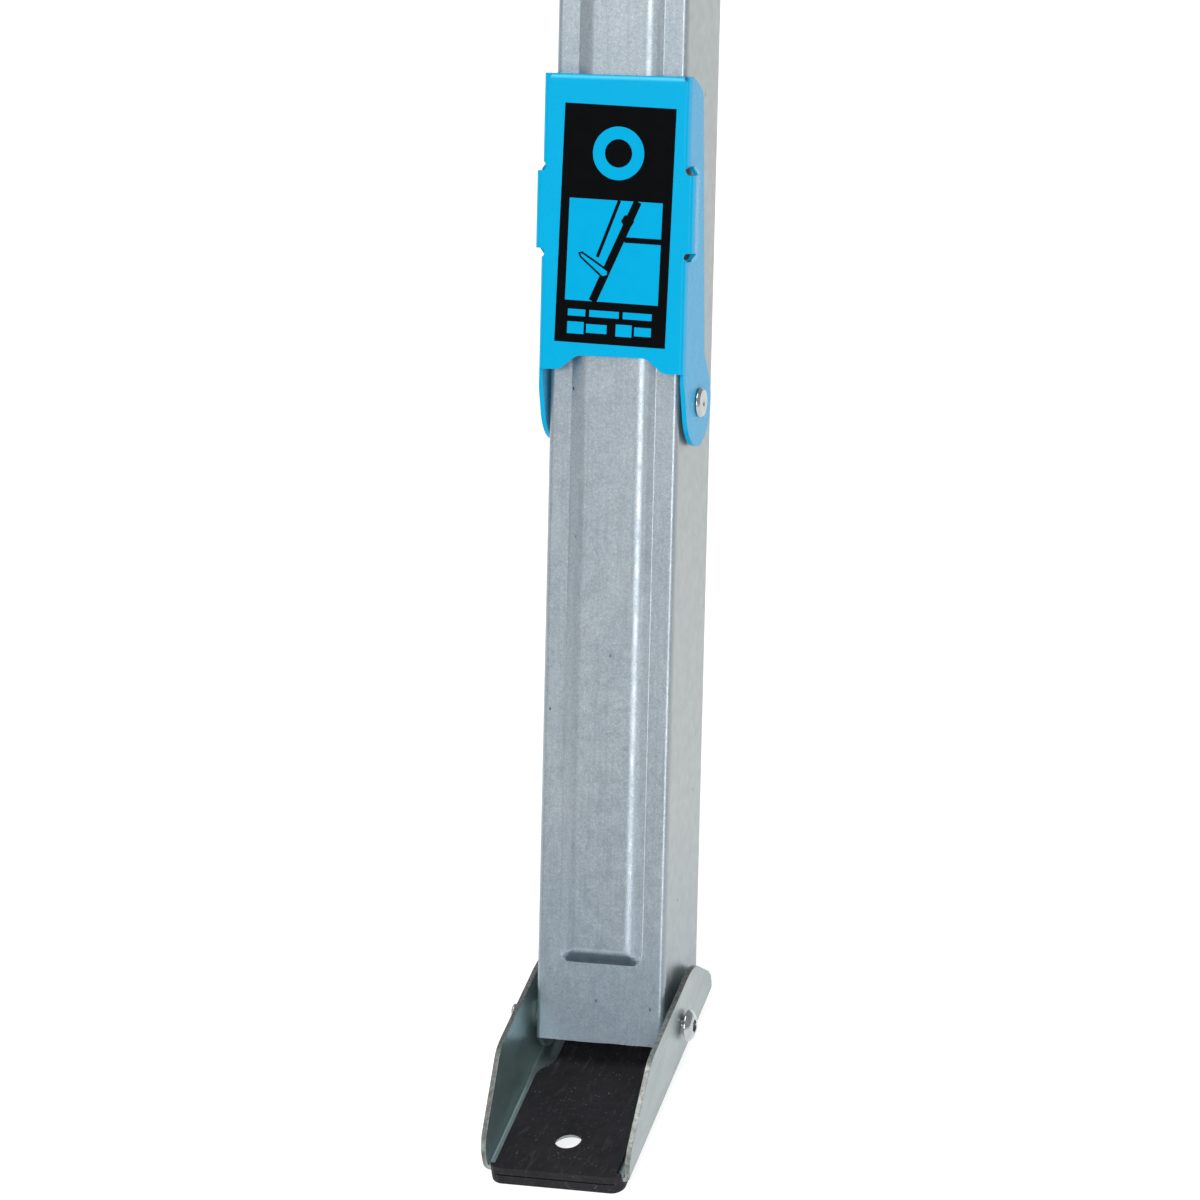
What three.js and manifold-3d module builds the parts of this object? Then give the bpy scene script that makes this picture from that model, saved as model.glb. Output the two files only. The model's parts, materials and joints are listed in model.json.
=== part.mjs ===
// Folding sawhorse in galvanised steel, with a fold-down lumber bracket on each leg.
// Millimetres, +Z up, +X along the beam, front at -Y, origin on the floor under the middle.
import * as THREE from 'three';
import { mergeVertices } from 'three/addons/utils/BufferGeometryUtils.js';
import Module from 'manifold-3d';

const wasm = await Module();
wasm.setup();

// ---------------------------------------------------------------- driving dimensions
const RAD = Math.PI / 180;
const GAP = 0.3; // air between two pieces that touch
const HOLE_GAP = 0.35; // radial air round a pin
const SPLAY = 27 * RAD; // lean of an open leg from the vertical
const HEIGHT = 864;
const LEG_X = 430; // middle of each leg from the middle of the beam

const beam = { length: 1080, width: 66, depth: 80, sheet: 2, lip: 11, bend: 4 };
const strip = { width: 54, thick: 3.7, round: 2 };
const cap = { thick: 6, plug: 12, play: 1, wall: 3 };
const leg = { width: 52, depth: 46, sheet: 2, lip: 10, bend: 3, above: 12 };
const rib = { base: 17, top: 12.2, height: 2.8, start: 31, slope: 4.8, stopShort: 62, root: 0.5 };
const hinge = { drop: 52, pin: 4, head: 7, rise: 3, plate: 2.8, beside: 0.8, lobe: 16 };
const hingePlate = { wing: 48, low: -26, high: 42, bolt: 38, boltUp: 8 };
const beamBolt = { radius: 4, hex: 7.5, head: 5, nut: 6 };
const ankle = { in: 13, up: 7.2, tab: 12.5, cut: 38 * RAD };
const shoe = { half: 29.4, lean: 2, sheet: 2, bend: 3, under: 3.4, pivot: 18.5, top: 34.4 };
const toe = { front: 79, rear: 41, hole: 62, holeRadius: 5 };
const ear = { bulge: 2.5, bulgeUp: 8, heelUp: 12.4, heel: 24, heelDrop: 5 };
const earTop = { crown: 17.5, rear: 8, front: 43 };
const earToe = { back: 3.5, up: 15.6, bendUp: 12.5, edgeUp: 6 };
const pad = { half: 26.6, front: 82.4, rear: 36, below: 3.1, above: 7.6, corner: 5 };
const tread = { half: 24.2, front: 81, shoulder: 26, neck: 18.6, neckFront: 13, neckRear: 20, pull: 7 };
const shoeBolt = { radius: 3, head: 6.3, rim: 2, dome: 4, socket: 2.7, socketDeep: 2.3, tip: 3 };
const shoeNut = { hex: 5.8, thick: 4.6 };
const saddle = { half: 29.3, wide: 31.6, sheet: 1.8, face: 5, bend: 3, bottom: 12, top: 125, lobe: 16.8 };
const saddleNotch = { low: 56.5, high: 89.5, half: 1.9, in: 2.4, deep: 6, taper: 14, lap: 1.2 };
const saddleSill = { half: 20, topHalf: 13.5, rise: 5.6 };
const saddlePivot = { in: 16, up: 250, pin: 3, head: 5.6, rise: 1.8 };
const spread = { up: 528, sheet: 2.5, half: 9, pin: 3, head: 6, rise: 2, beside: 0.6, between: 0.5 };
const spreadBack = { less: 1.5, rise: 2.7 };
const rail = { up: 648, tall: 44, deep: 22, sheet: 2, in: 12, lip: 8 };
const LEG_MID = leg.depth / 2;
const SIDES = 12; // facets round a pin or a hole
const BEND_STEPS = 2; // facets round a bend in a sheet
const OVER = 1; // how far a cutting tool runs past what it cuts

// The leg's inner top edge stops against the hinge bracket's back plate when the horse is open.
const STOP_GAP = 0.4;
const stopReach = LEG_MID * Math.cos(SPLAY) + leg.above * Math.sin(SPLAY);
const HINGE_Y = beam.width / 2 + GAP + hinge.plate + STOP_GAP + stopReach;
const HINGE_Z = HEIGHT - hinge.drop;

// Length from the foot's pivot to the hinge that stands the pads flat on the floor.
const inset = LEG_MID - ankle.in;
const rise = HINGE_Z - shoe.pivot + inset * Math.sin(SPLAY);
const HINGE_UP = ankle.up + rise / Math.cos(SPLAY);
const LEG_TOP = HINGE_UP + leg.above;

// ---------------------------------------------------------------- materials
const paint = (name, color, metalness, roughness) =>
  new THREE.MeshStandardMaterial({ name, color, metalness, roughness });
const galvanised = paint('galvanised', 0xa8b3bb, 0.7, 0.45);
const zinc = paint('zinc', 0xb9bdbe, 0.9, 0.3);
const blue = paint('blue_paint', 0x00b2eb, 0.0, 0.3);
const rubber = paint('rubber', 0x232326, 0.0, 0.85);
const plastic = paint('plastic', 0x1d1e20, 0.0, 0.5);

// ---------------------------------------------------------------- solids
function solid(geometry) {
  const bare = geometry.clone();
  bare.deleteAttribute('normal');
  bare.deleteAttribute('uv');
  const merged = mergeVertices(bare, 1e-4);
  const mesh = new wasm.Mesh({
    numProp: 3,
    vertProperties: merged.attributes.position.array,
    triVerts: new Uint32Array(merged.index.array),
  });
  return new wasm.Manifold(mesh);
}

function geometryOf(manifold) {
  const mesh = manifold.getMesh();
  const geometry = new THREE.BufferGeometry();
  const positions = new Float32Array(mesh.vertProperties);
  geometry.setAttribute('position', new THREE.BufferAttribute(positions, 3));
  geometry.setIndex(new THREE.BufferAttribute(new Uint32Array(mesh.triVerts), 1));
  const flat = geometry.toNonIndexed();
  flat.computeVertexNormals();
  return flat;
}

const union = (...parts) => parts.reduce((all, part) => all.add(part));
const extruded = (shape, depth, curveSegments = 4) =>
  new THREE.ExtrudeGeometry(shape, { depth, bevelEnabled: false, curveSegments });

// A section drawn in X and Y, running from z0 up to z1.
const upward = (shape, z0, z1, steps) => solid(extruded(shape, z1 - z0, steps).translate(0, 0, z0));

// An outline drawn in X and Z, running from y0 to y1.
function inward(shape, y0, y1, steps) {
  return solid(extruded(shape, y1 - y0, steps).rotateX(Math.PI / 2).translate(0, y1, 0));
}

// An outline drawn in Y and Z, running from x0 to x1.
function across(shape, x0, x1, steps) {
  const turn = new THREE.Matrix4().makeBasis(
    new THREE.Vector3(0, 1, 0), new THREE.Vector3(0, 0, 1), new THREE.Vector3(1, 0, 0));
  return solid(extruded(shape, x1 - x0, steps).applyMatrix4(turn).translate(x0, 0, 0));
}

function box(x0, x1, y0, y1, z0, z1) {
  const geometry = new THREE.BoxGeometry(x1 - x0, y1 - y0, z1 - z0);
  return solid(geometry.translate((x0 + x1) / 2, (y0 + y1) / 2, (z0 + z1) / 2));
}

function polygon(points) {
  return new THREE.Shape(points.map(([x, y]) => new THREE.Vector2(x, y)));
}

// A round bar along X, for pins and for the holes that they go through.
function barX(radius, x0, x1, y, z, sides = SIDES) {
  const bar = new THREE.CylinderGeometry(radius, radius, x1 - x0, sides);
  return solid(bar.rotateZ(Math.PI / 2).translate((x0 + x1) / 2, y, z));
}

function barY(radius, y0, y1, x, z, sides = SIDES) {
  const bar = new THREE.CylinderGeometry(radius, radius, y1 - y0, sides);
  return solid(bar.translate(x, (y0 + y1) / 2, z));
}

function barZ(radius, z0, z1, x, y, sides = SIDES) {
  const bar = new THREE.CylinderGeometry(radius, radius, z1 - z0, sides);
  return solid(bar.rotateX(Math.PI / 2).translate(x, y, (z0 + z1) / 2));
}

// A turned piece along +X from [radius, x] pairs that start and end on the axis.
function turned(profile, sides = SIDES) {
  const lathe = new THREE.LatheGeometry(profile.map(([r, x]) => new THREE.Vector2(r, x)), sides);
  return solid(lathe.rotateZ(-Math.PI / 2));
}

// Ring of points of an arc, both ends included.
function arc(cx, cy, radius, from, to, steps) {
  return Array.from({ length: steps + 1 }, (_, i) => {
    const angle = from + ((to - from) * i) / steps;
    return [cx + radius * Math.cos(angle), cy + radius * Math.sin(angle)];
  });
}

const mirrored = (points) => points.map(([x, y]) => [-x, y]).reverse();

// Half of a bent sheet's section, as its outer line out and its inner line back.
function sheetSection(outerHalf, innerHalf) {
  return polygon([...mirrored(outerHalf), ...outerHalf, ...innerHalf, ...mirrored(innerHalf)]);
}

// ---------------------------------------------------------------- beam and its trim
function makeBeam() {
  const { width, depth, sheet, lip, bend, length } = beam;
  const half = width / 2;
  const outer = [
    ...arc(half - bend, -bend, bend, Math.PI / 2, 0, BEND_STEPS),
    ...arc(half - bend, bend - depth, bend, 0, -Math.PI / 2, BEND_STEPS),
    [half - lip, -depth],
  ];
  const inner = [
    [half - lip, sheet - depth],
    ...arc(half - bend, bend - depth, bend - sheet, -Math.PI / 2, 0, BEND_STEPS),
    ...arc(half - bend, -bend, bend - sheet, 0, Math.PI / 2, BEND_STEPS),
  ];
  const channel = across(sheetSection(outer, inner), -length / 2, length / 2);
  const top = HEIGHT - strip.thick - GAP;
  let body = channel.translate([0, 0, top]);
  const bore = beamBolt.radius + HOLE_GAP;
  for (const side of [-1, 1]) {
    for (const off of [-hingePlate.bolt, hingePlate.bolt]) {
      const x = side * LEG_X + off;
      body = body.subtract(barY(bore, -half - OVER, half + OVER, x, HINGE_Z + hingePlate.boltUp));
    }
  }
  return body;
}

function makeStrip() {
  const half = strip.width / 2;
  const { round } = strip;
  const outline = polygon([[-half, HEIGHT - strip.thick], [half, HEIGHT - strip.thick],
    ...arc(half - round, HEIGHT - round, round, 0, Math.PI / 2, 3),
    ...arc(round - half, HEIGHT - round, round, Math.PI / 2, Math.PI, 3)]);
  return across(outline, -beam.length / 2, beam.length / 2);
}

function makeEndCap(side) {
  const half = beam.width / 2;
  const top = HEIGHT - strip.thick - GAP;
  const end = beam.length / 2 + GAP;
  const play = beam.sheet + cap.play;
  const low = top - beam.depth;
  const inside = play + cap.wall;
  const plate = box(end, end + cap.thick, -half, half, low, HEIGHT);
  const plug = box(end - cap.plug, end + OVER, play - half, half - play, low + play, top - play);
  const hollow = box(end - cap.plug - OVER, end - OVER, inside - half, half - inside,
    low + inside, top - inside);
  const whole = plate.add(plug).subtract(hollow);
  return side > 0 ? whole : whole.rotate([0, 0, 180]);
}

// ---------------------------------------------------------------- hinge at a leg's top
// Frame of its own: hinge axis along X at the origin, beam on the +Y side.
function makeHingeBracket() {
  const inner = leg.width / 2 + hinge.beside;
  const outer = inner + hinge.plate;
  const back = HINGE_Y - beam.width / 2 - GAP;
  const front = back - hinge.plate;
  const { wing, low, high, bolt, boltUp } = hingePlate;
  const plate = box(-wing, wing, front, back, low, high);
  const lobe = arc(0, 0, hinge.lobe, -Math.PI / 2, -1.5 * Math.PI, 8);
  const side = polygon([[back - OVER, low], ...lobe, [back - OVER, high]]);
  const bore = barX(hinge.pin + HOLE_GAP, -outer - OVER, outer + OVER, 0, 0);
  const ears = across(side, -outer, -inner).add(across(side, inner, outer));
  let bracket = plate.add(ears.subtract(bore));
  for (const off of [-bolt, bolt]) {
    const hole = barY(beamBolt.radius + HOLE_GAP, front - OVER, back + OVER, off, boltUp);
    bracket = bracket.subtract(hole);
  }
  return bracket;
}

// A pin along X with the same flat head at both ends, seats at plus and minus a distance.
function headedPin(radius, head, seat, rise) {
  const end = seat + rise;
  return turned([[0, -end], [head, -end], [head, -seat], [radius, -seat],
    [radius, seat], [head, seat], [head, end], [0, end]]);
}

function makeHingePin() {
  const seat = leg.width / 2 + hinge.beside + hinge.plate + GAP;
  return headedPin(hinge.pin, hinge.head, seat, hinge.rise);
}

// Long bolt through both sides of the beam and the two hinge brackets on it.
function makeBeamBolt() {
  const { radius, hex, head, nut } = beamBolt;
  const seat = beam.width / 2 + GAP + hinge.plate + GAP;
  const end = (y0, y1) => barY(hex, y0, y1, 0, 0, 6);
  const shank = barY(radius, -seat - OVER, seat + OVER, 0, 0);
  return union(end(-seat - head, -seat), shank, end(seat, seat + nut));
}

// ---------------------------------------------------------------- leg
// Pressed rib: a flat-topped block with sloping sides, from y0 out to y1.
function frustum(halfBase, halfTop, z0, z1, slope, y0, y1) {
  const ring = (half, y, inset) => [
    [-half, y, z0 + inset], [half, y, z0 + inset], [half, y, z1 - inset], [-half, y, z1 - inset]];
  const corners = [...ring(halfBase, y0, 0), ...ring(halfTop, y1, slope)];
  const faces = [[0, 2, 1], [0, 3, 2], [4, 5, 6], [4, 6, 7]];
  for (let i = 0; i < 4; i += 1) {
    const j = (i + 1) % 4;
    faces.push([i, j, j + 4], [i, j + 4, i + 4]);
  }
  const geometry = new THREE.BufferGeometry();
  geometry.setAttribute('position', new THREE.Float32BufferAttribute(corners.flat(), 3));
  geometry.setIndex(faces.flat());
  return solid(geometry);
}

// Frame of its own: front face at y = 0 facing -Y, its square-cut bottom edge at z = 0, +Z up the leg.
// inner is +1 or -1, the side along X that faces the other leg of the pair.
function makeLeg(inner) {
  const { width, depth, sheet, lip, bend } = leg;
  const half = width / 2;
  const outer = [
    ...arc(half - bend, bend, bend, -Math.PI / 2, 0, BEND_STEPS),
    ...arc(half - bend, depth - bend, bend, 0, Math.PI / 2, BEND_STEPS),
    [half - lip, depth],
  ];
  const inside = [
    [half - lip, depth - sheet],
    ...arc(half - bend, depth - bend, bend - sheet, Math.PI / 2, 0, BEND_STEPS),
    ...arc(half - bend, bend, bend - sheet, 0, -Math.PI / 2, BEND_STEPS),
  ];
  const { in: ay, up: az, tab, cut } = ankle;
  const channel = upward(sheetSection(outer, inside), -tab, LEG_TOP);
  const start = Math.PI + Math.asin(az / tab);
  const stop = 1.5 * Math.PI + cut;
  const tangentY = ay + tab * Math.sin(cut);
  const tangentZ = az - tab * Math.cos(cut);
  const heel = tangentZ + (depth + OVER - tangentY) * Math.tan(cut);
  const side = polygon([[-OVER, 0], ...arc(ay, az, tab, start, stop, 6), [depth + OVER, heel],
    [depth + OVER, LEG_TOP], [-OVER, LEG_TOP]]);
  const ribEnd = LEG_TOP - rib.stopShort;
  const ribSolid = frustum(rib.base, rib.top, rib.start, ribEnd, rib.slope, rib.root, -rib.height);
  const bores = [
    [shoeBolt.radius, ay, az],
    [saddlePivot.pin, saddlePivot.in, saddlePivot.up],
    [hinge.pin, LEG_MID, HINGE_UP],
  ].map(([radius, y, z]) => barX(radius + HOLE_GAP, -half - OVER, half + OVER, y, z));
  const near = half - 2 * sheet;
  const far = half + OVER;
  const [from, to] = inner > 0 ? [near, far] : [-far, -near];
  const spreadBore = barX(spread.pin + HOLE_GAP, from, to, LEG_MID, spread.up);
  const bent = channel.intersect(across(side, -far, far)).add(ribSolid);
  return bores.reduce((body, bore) => body.subtract(bore), bent.subtract(spreadBore));
}

// ---------------------------------------------------------------- foot
// Frame of its own: pivot axis along X at the origin, toe towards -Y, +Z up.
function shoeSide() {
  const low = shoe.under - shoe.pivot;
  const high = shoe.top - shoe.pivot;
  const knee = toe.front - earToe.back;
  const side = new THREE.Shape();
  side.moveTo(toe.rear, low);
  side.quadraticCurveTo(toe.rear + ear.bulge, low + ear.bulgeUp, toe.rear - ear.bulge, low + ear.heelUp);
  side.lineTo(ear.heel, high - ear.heelDrop);
  side.quadraticCurveTo(earTop.crown, high, earTop.rear, high);
  side.lineTo(-earTop.front, high);
  side.lineTo(-knee, earToe.up - shoe.pivot);
  side.quadraticCurveTo(-toe.front, earToe.bendUp - shoe.pivot, -toe.front, earToe.edgeUp - shoe.pivot);
  side.lineTo(-toe.front, low);
  return side;
}

function makeShoe() {
  const { half, lean, sheet, bend, under, pivot, top } = shoe;
  const low = under - pivot;
  const high = top - pivot + OVER;
  const outerBend = arc(half - bend, low + bend, bend, -Math.PI / 2, 0, BEND_STEPS);
  const innerBend = arc(half - bend, low + bend, bend - sheet, 0, -Math.PI / 2, BEND_STEPS);
  const section = sheetSection([...outerBend, [half + lean, high]],
    [[half + lean - sheet, high], ...innerBend]);
  const bentUp = inward(section, -toe.front - OVER, toe.rear + ear.bulge + OVER);
  const wide = half + lean + OVER;
  const blank = bentUp.intersect(across(shoeSide(), -wide, wide));
  const screwHole = barZ(toe.holeRadius + GAP, low - OVER, low + sheet + OVER, 0, -toe.hole);
  const bore = barX(shoeBolt.radius + HOLE_GAP, -wide, wide, 0, 0);
  return blank.subtract(screwHole).subtract(bore);
}

// Rubber sole that wraps the front edge of the shoe and covers the top of its plate.
function makePad() {
  const { half, front, rear, below, above, corner } = pad;
  const floor = -shoe.pivot;
  const high = floor + above;
  const sole = polygon([[-half, rear],
    ...arc(corner - half, corner - front, corner, -Math.PI, -Math.PI / 2, 3),
    ...arc(half - corner, corner - front, corner, -Math.PI / 2, 0, 3), [half, rear]]);
  const { half: side, neck, neckFront, neckRear, shoulder, pull } = tread;
  const plan = new THREE.Shape();
  plan.moveTo(-neck, neckRear);
  plan.lineTo(-neck, -neckFront);
  plan.bezierCurveTo(-neck, -neckFront - pull, -side, pull - shoulder, -side, -shoulder);
  plan.lineTo(-side, -tread.front);
  plan.lineTo(side, -tread.front);
  plan.lineTo(side, -shoulder);
  plan.bezierCurveTo(side, pull - shoulder, neck, -neckFront - pull, neck, -neckFront);
  plan.lineTo(neck, neckRear);
  const under = upward(sole, floor, floor + below);
  const lip = upward(sole, floor, high).intersect(
    box(-half, half, -front, -toe.front - GAP, floor - OVER, high + OVER));
  const top = upward(plan, floor + shoe.under + shoe.sheet + GAP, high);
  const screwHole = barZ(toe.holeRadius, floor - OVER, high + OVER, 0, -toe.hole);
  return union(under, lip, top).subtract(screwHole);
}

// Outside of a shoe's leaning ear, at the top of the bolt head on it.
const earFoot = shoe.under + shoe.bend;
const earRise = (shoe.pivot + shoeBolt.head - earFoot) / (shoe.top + OVER - earFoot);
const earOut = shoe.half + shoe.lean * earRise;

function makeShoeBolt() {
  const seat = earOut + GAP;
  const { radius, head, rim, dome, socket, socketDeep, tip } = shoeBolt;
  const far = -(seat + shoeNut.thick + tip);
  const end = seat + dome;
  const body = turned([[0, far], [radius, far], [radius, seat], [head, seat], [head, seat + rim],
    [head * 0.75, end - dome / 8], [socket + GAP, end], [0, end]]);
  return body.subtract(barX(socket, end - socketDeep, end + OVER, 0, 0, 6));
}

function makeShoeNut() {
  const seat = earOut + GAP;
  const far = -seat - shoeNut.thick;
  const hex = barX(shoeNut.hex, far, -seat, 0, 0, 6);
  return hex.subtract(barX(shoeBolt.radius + HOLE_GAP, far - OVER, -seat + OVER, 0, 0));
}

// ---------------------------------------------------------------- fold-down lumber bracket
// Frame of its own: pivot axis along X at the origin, its face towards -Y, +Z up the leg.
const SADDLE_FACE = -(saddlePivot.in + saddle.face);

// Outline of a flange, from its top front corner down, round the lobe and up the back.
function saddleFlank() {
  const { bottom, top, lobe } = saddle;
  return polygon([[SADDLE_FACE, top], [SADDLE_FACE, bottom - 1],
    ...arc(0, 0, lobe, 1.08 * Math.PI, 2.2 * Math.PI, 12),
    [6.6, bottom + 6], [-3.2, top - 9], [-9, top - 3.2], [-17, top]]);
}

// Section of the folded sheet, as wide as asked at the face and of the usual width behind.
function saddleSection(wide) {
  const { half, sheet, bend, lobe } = saddle;
  const back = lobe + 2;
  const y = SADDLE_FACE + bend;
  return sheetSection(
    [...arc(wide - bend, y, bend, -Math.PI / 2, 0, BEND_STEPS), [half, y + saddleNotch.taper], [half, back]],
    [[half - sheet, back], [half - sheet, y + saddleNotch.taper],
      ...arc(wide - bend, y, bend - sheet, 0, -Math.PI / 2, BEND_STEPS)]);
}

function makeSaddle() {
  const { half, wide, sheet, bend, bottom, top, lobe } = saddle;
  const { low, high, half: notch, in: reach, deep, taper, lap } = saddleNotch;
  const front = SADDLE_FACE - OVER;
  const bendEnd = half - bend;
  const narrow = upward(saddleSection(half), -lobe - OVER, top).subtract(
    box(-wide, wide, front, SADDLE_FACE + bend + taper, low, high));
  const middle = upward(saddleSection(wide), low - lap, high + lap);
  const web = box(-bendEnd, bendEnd, SADDLE_FACE, SADDLE_FACE + sheet, low - notch, high + notch);
  const flank = across(saddleFlank(), -wide - OVER, wide + OVER);
  let body = union(narrow, middle, web).intersect(flank);
  for (const z of [low, high]) {
    for (const x of [-half, half]) {
      body = body.subtract(box(x - reach, x + reach, front, SADDLE_FACE + deep, z - notch, z + notch));
    }
  }
  const { half: sillHalf, topHalf, rise: sillRise } = saddleSill;
  const sill = polygon([[-sillHalf, -lobe - OVER], [sillHalf, -lobe - OVER], [sillHalf, bottom],
    [topHalf, bottom + sillRise], [-topHalf, bottom + sillRise], [-sillHalf, bottom]]);
  const cutOut = inward(sill, front, SADDLE_FACE + bend + OVER);
  const belowPlate = box(sheet - half, half - sheet, front, SADDLE_FACE + bend + 2, -lobe - 2, bottom);
  const belowBend = box(-wide, wide, front, SADDLE_FACE + bend * 0.4, -lobe - 2, bottom);
  const bore = barX(saddlePivot.pin + HOLE_GAP, -wide - OVER, wide + OVER, 0, 0);
  return [cutOut, belowPlate, belowBend, bore].reduce((all, cut) => all.subtract(cut), body);
}

function makeSaddlePin() {
  return headedPin(saddlePivot.pin, saddlePivot.head, saddle.half + GAP, saddlePivot.rise);
}

// ---------------------------------------------------------------- cross rail and spreader
// Rail frame: the same as a leg's, in the middle between the two legs.
function makeRail() {
  const reach = LEG_X - leg.width / 2 - GAP;
  const { up, tall, deep, sheet, in: y0, lip } = rail;
  const section = polygon([[y0, up], [y0 + deep, up], [y0 + deep, up + lip], [y0 + deep - sheet, up + lip],
    [y0 + deep - sheet, up + sheet], [y0 + sheet, up + sheet], [y0 + sheet, up + tall - sheet],
    [y0 + deep - sheet, up + tall - sheet], [y0 + deep - sheet, up + tall - lip],
    [y0 + deep, up + tall - lip], [y0 + deep, up + tall], [y0, up + tall]]);
  const tab = (x0, x1) => box(x0, x1, y0, y0 + deep, up, up + tall);
  return union(across(section, -reach, reach), tab(-reach, sheet - reach), tab(reach - sheet, reach));
}

const ARM = HINGE_Y + (HINGE_UP - spread.up) * Math.sin(SPLAY);

// Arm frame: leg pin at the origin, running towards +Y to the middle of the horse.
function makeArm(x0) {
  const { half, sheet, pin } = spread;
  const outline = polygon([...arc(0, 0, half, 1.5 * Math.PI, 0.5 * Math.PI, 5),
    ...arc(ARM, 0, half, 0.5 * Math.PI, -0.5 * Math.PI, 5)]);
  const arm = across(outline, x0, x0 + sheet);
  const bores = [0, ARM].map((y) => barX(pin + HOLE_GAP, x0 - OVER, x0 + sheet + OVER, y, 0));
  return bores.reduce((all, bore) => all.subtract(bore), arm);
}

// Rivet through the leg's inner wall and the arm, with a smaller head inside the leg.
function makeArmPin(x0) {
  const { pin, head, sheet, rise: outerRise } = spread;
  const back = leg.width / 2 - leg.sheet - GAP;
  const out = x0 + sheet + GAP;
  const small = head - spreadBack.less;
  return turned([[0, back - spreadBack.rise], [small, back - spreadBack.rise], [small, back], [pin, back],
    [pin, out], [head, out], [head, out + outerRise], [0, out + outerRise]]);
}

// Half of the rivet at the spreader's middle: one head and a shank as long as its own arm is thick.
function makeMiddleRivet(x0, outward) {
  const { pin, head, sheet } = spread;
  const end = GAP + spread.rise;
  const rivet = turned([[0, -sheet], [pin, -sheet], [pin, GAP], [head, GAP], [head, end], [0, end]]);
  if (outward > 0) {
    return rivet.translate([x0 + sheet, 0, 0]);
  }
  return rivet.rotate([0, 0, 180]).translate([x0, 0, 0]);
}

// ---------------------------------------------------------------- assembly
const sawhorse = new THREE.Group();
sawhorse.name = 'folding_sawhorse';

function place(parent, name, manifold, material, x = 0, y = 0, z = 0) {
  const mesh = new THREE.Mesh(geometryOf(manifold), material);
  mesh.name = name;
  mesh.position.set(x, y, z);
  parent.add(mesh);
  return mesh;
}

function group(parent, x, y, z) {
  const holder = new THREE.Group();
  holder.position.set(x, y, z);
  parent.add(holder);
  return holder;
}

place(sawhorse, 'beam', makeBeam(), galvanised);
place(sawhorse, 'grip_strip', makeStrip(), rubber);
place(sawhorse, 'end_cap_left', makeEndCap(-1), plastic);
place(sawhorse, 'end_cap_right', makeEndCap(1), plastic);
for (const [end, x] of [['left', -LEG_X], ['right', LEG_X]]) {
  const off = -Math.sign(x) * hingePlate.bolt;
  const z = HINGE_Z + hingePlate.boltUp;
  place(sawhorse, `beam_bolt_${end}_inner`, makeBeamBolt(), zinc, x + off, 0, z);
  place(sawhorse, `beam_bolt_${end}_outer`, makeBeamBolt(), zinc, x - off, 0, z);
}

const frontArm = leg.width / 2 + spread.beside;
const armPlane = { front: frontArm, rear: frontArm + spread.sheet + spread.between };
const armPlaneX = (plane, inner) => (inner > 0 ? plane : -plane - spread.sheet);

function addFoot(legGroup, tag) {
  const foot = group(legGroup, 0, ankle.in, ankle.up);
  foot.rotation.x = SPLAY;
  place(foot, `foot_shoe_${tag}`, makeShoe(), galvanised);
  place(foot, `foot_pad_${tag}`, makePad(), rubber);
  place(foot, `foot_bolt_${tag}`, makeShoeBolt(), zinc);
  place(foot, `foot_nut_${tag}`, makeShoeNut(), zinc);
}

function addLeg(frame, tag, x) {
  const inner = -Math.sign(x);
  const holder = group(frame, x, -LEG_MID, -HINGE_UP);
  place(holder, `leg_${tag}`, makeLeg(inner), galvanised);
  const { in: y, up: z } = saddlePivot;
  place(holder, `lumber_bracket_${tag}`, makeSaddle(), blue, 0, y, z);
  place(holder, `lumber_bracket_pin_${tag}`, makeSaddlePin(), zinc, 0, y, z);
  addFoot(holder, tag);
}

function addArm(half, side, end, x) {
  const inner = -Math.sign(x);
  const plane = armPlaneX(armPlane[side], inner);
  const drop = HINGE_UP - spread.up;
  const y = -HINGE_Y - drop * Math.sin(SPLAY);
  const z = HINGE_Z - drop * Math.cos(SPLAY);
  const pinSolid = makeArmPin(armPlane[side]).rotate([0, 0, inner > 0 ? 0 : 180]);
  place(half, `spreader_arm_${side}_${end}`, makeArm(plane), galvanised, x, y, z);
  place(half, `spreader_pin_${side}_${end}`, pinSolid, zinc, x, y, z);
  const outward = side === 'rear' ? inner : -inner;
  place(half, `spreader_rivet_${side}_${end}`, makeMiddleRivet(plane, outward), zinc, x, 0, z);
}

for (const [side, turn] of [['front', 0], ['rear', Math.PI]]) {
  const half = group(sawhorse, 0, 0, 0);
  half.rotation.z = turn;
  const frame = group(half, 0, -HINGE_Y, HINGE_Z);
  frame.rotation.x = -SPLAY;
  place(frame, `cross_rail_${side}`, makeRail(), galvanised, 0, -LEG_MID, -HINGE_UP);
  for (const end of ['left', 'right']) {
    const x = (end === 'left' ? -LEG_X : LEG_X) * (turn ? -1 : 1);
    const tag = `${side}_${end}`;
    place(half, `hinge_bracket_${tag}`, makeHingeBracket(), blue, x, -HINGE_Y, HINGE_Z);
    place(half, `hinge_pin_${tag}`, makeHingePin(), zinc, x, -HINGE_Y, HINGE_Z);
    addLeg(frame, tag, x);
    addArm(half, side, end, x);
  }
}

export default sawhorse;
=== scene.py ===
"""Looks of the folding sawhorse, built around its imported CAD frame.

Shapes are drawn in millimetres in the frame of a leg, a foot or a lumber bracket, and are placed by the
record's joints. The world is in metres, +Z up, with the beam along X and the front legs on the -Y side.
"""

import json
import random
from math import atan2, cos, hypot, pi, radians, sin, sqrt, tan

import bmesh
import bpy
from mathutils import Matrix, Vector


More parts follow.
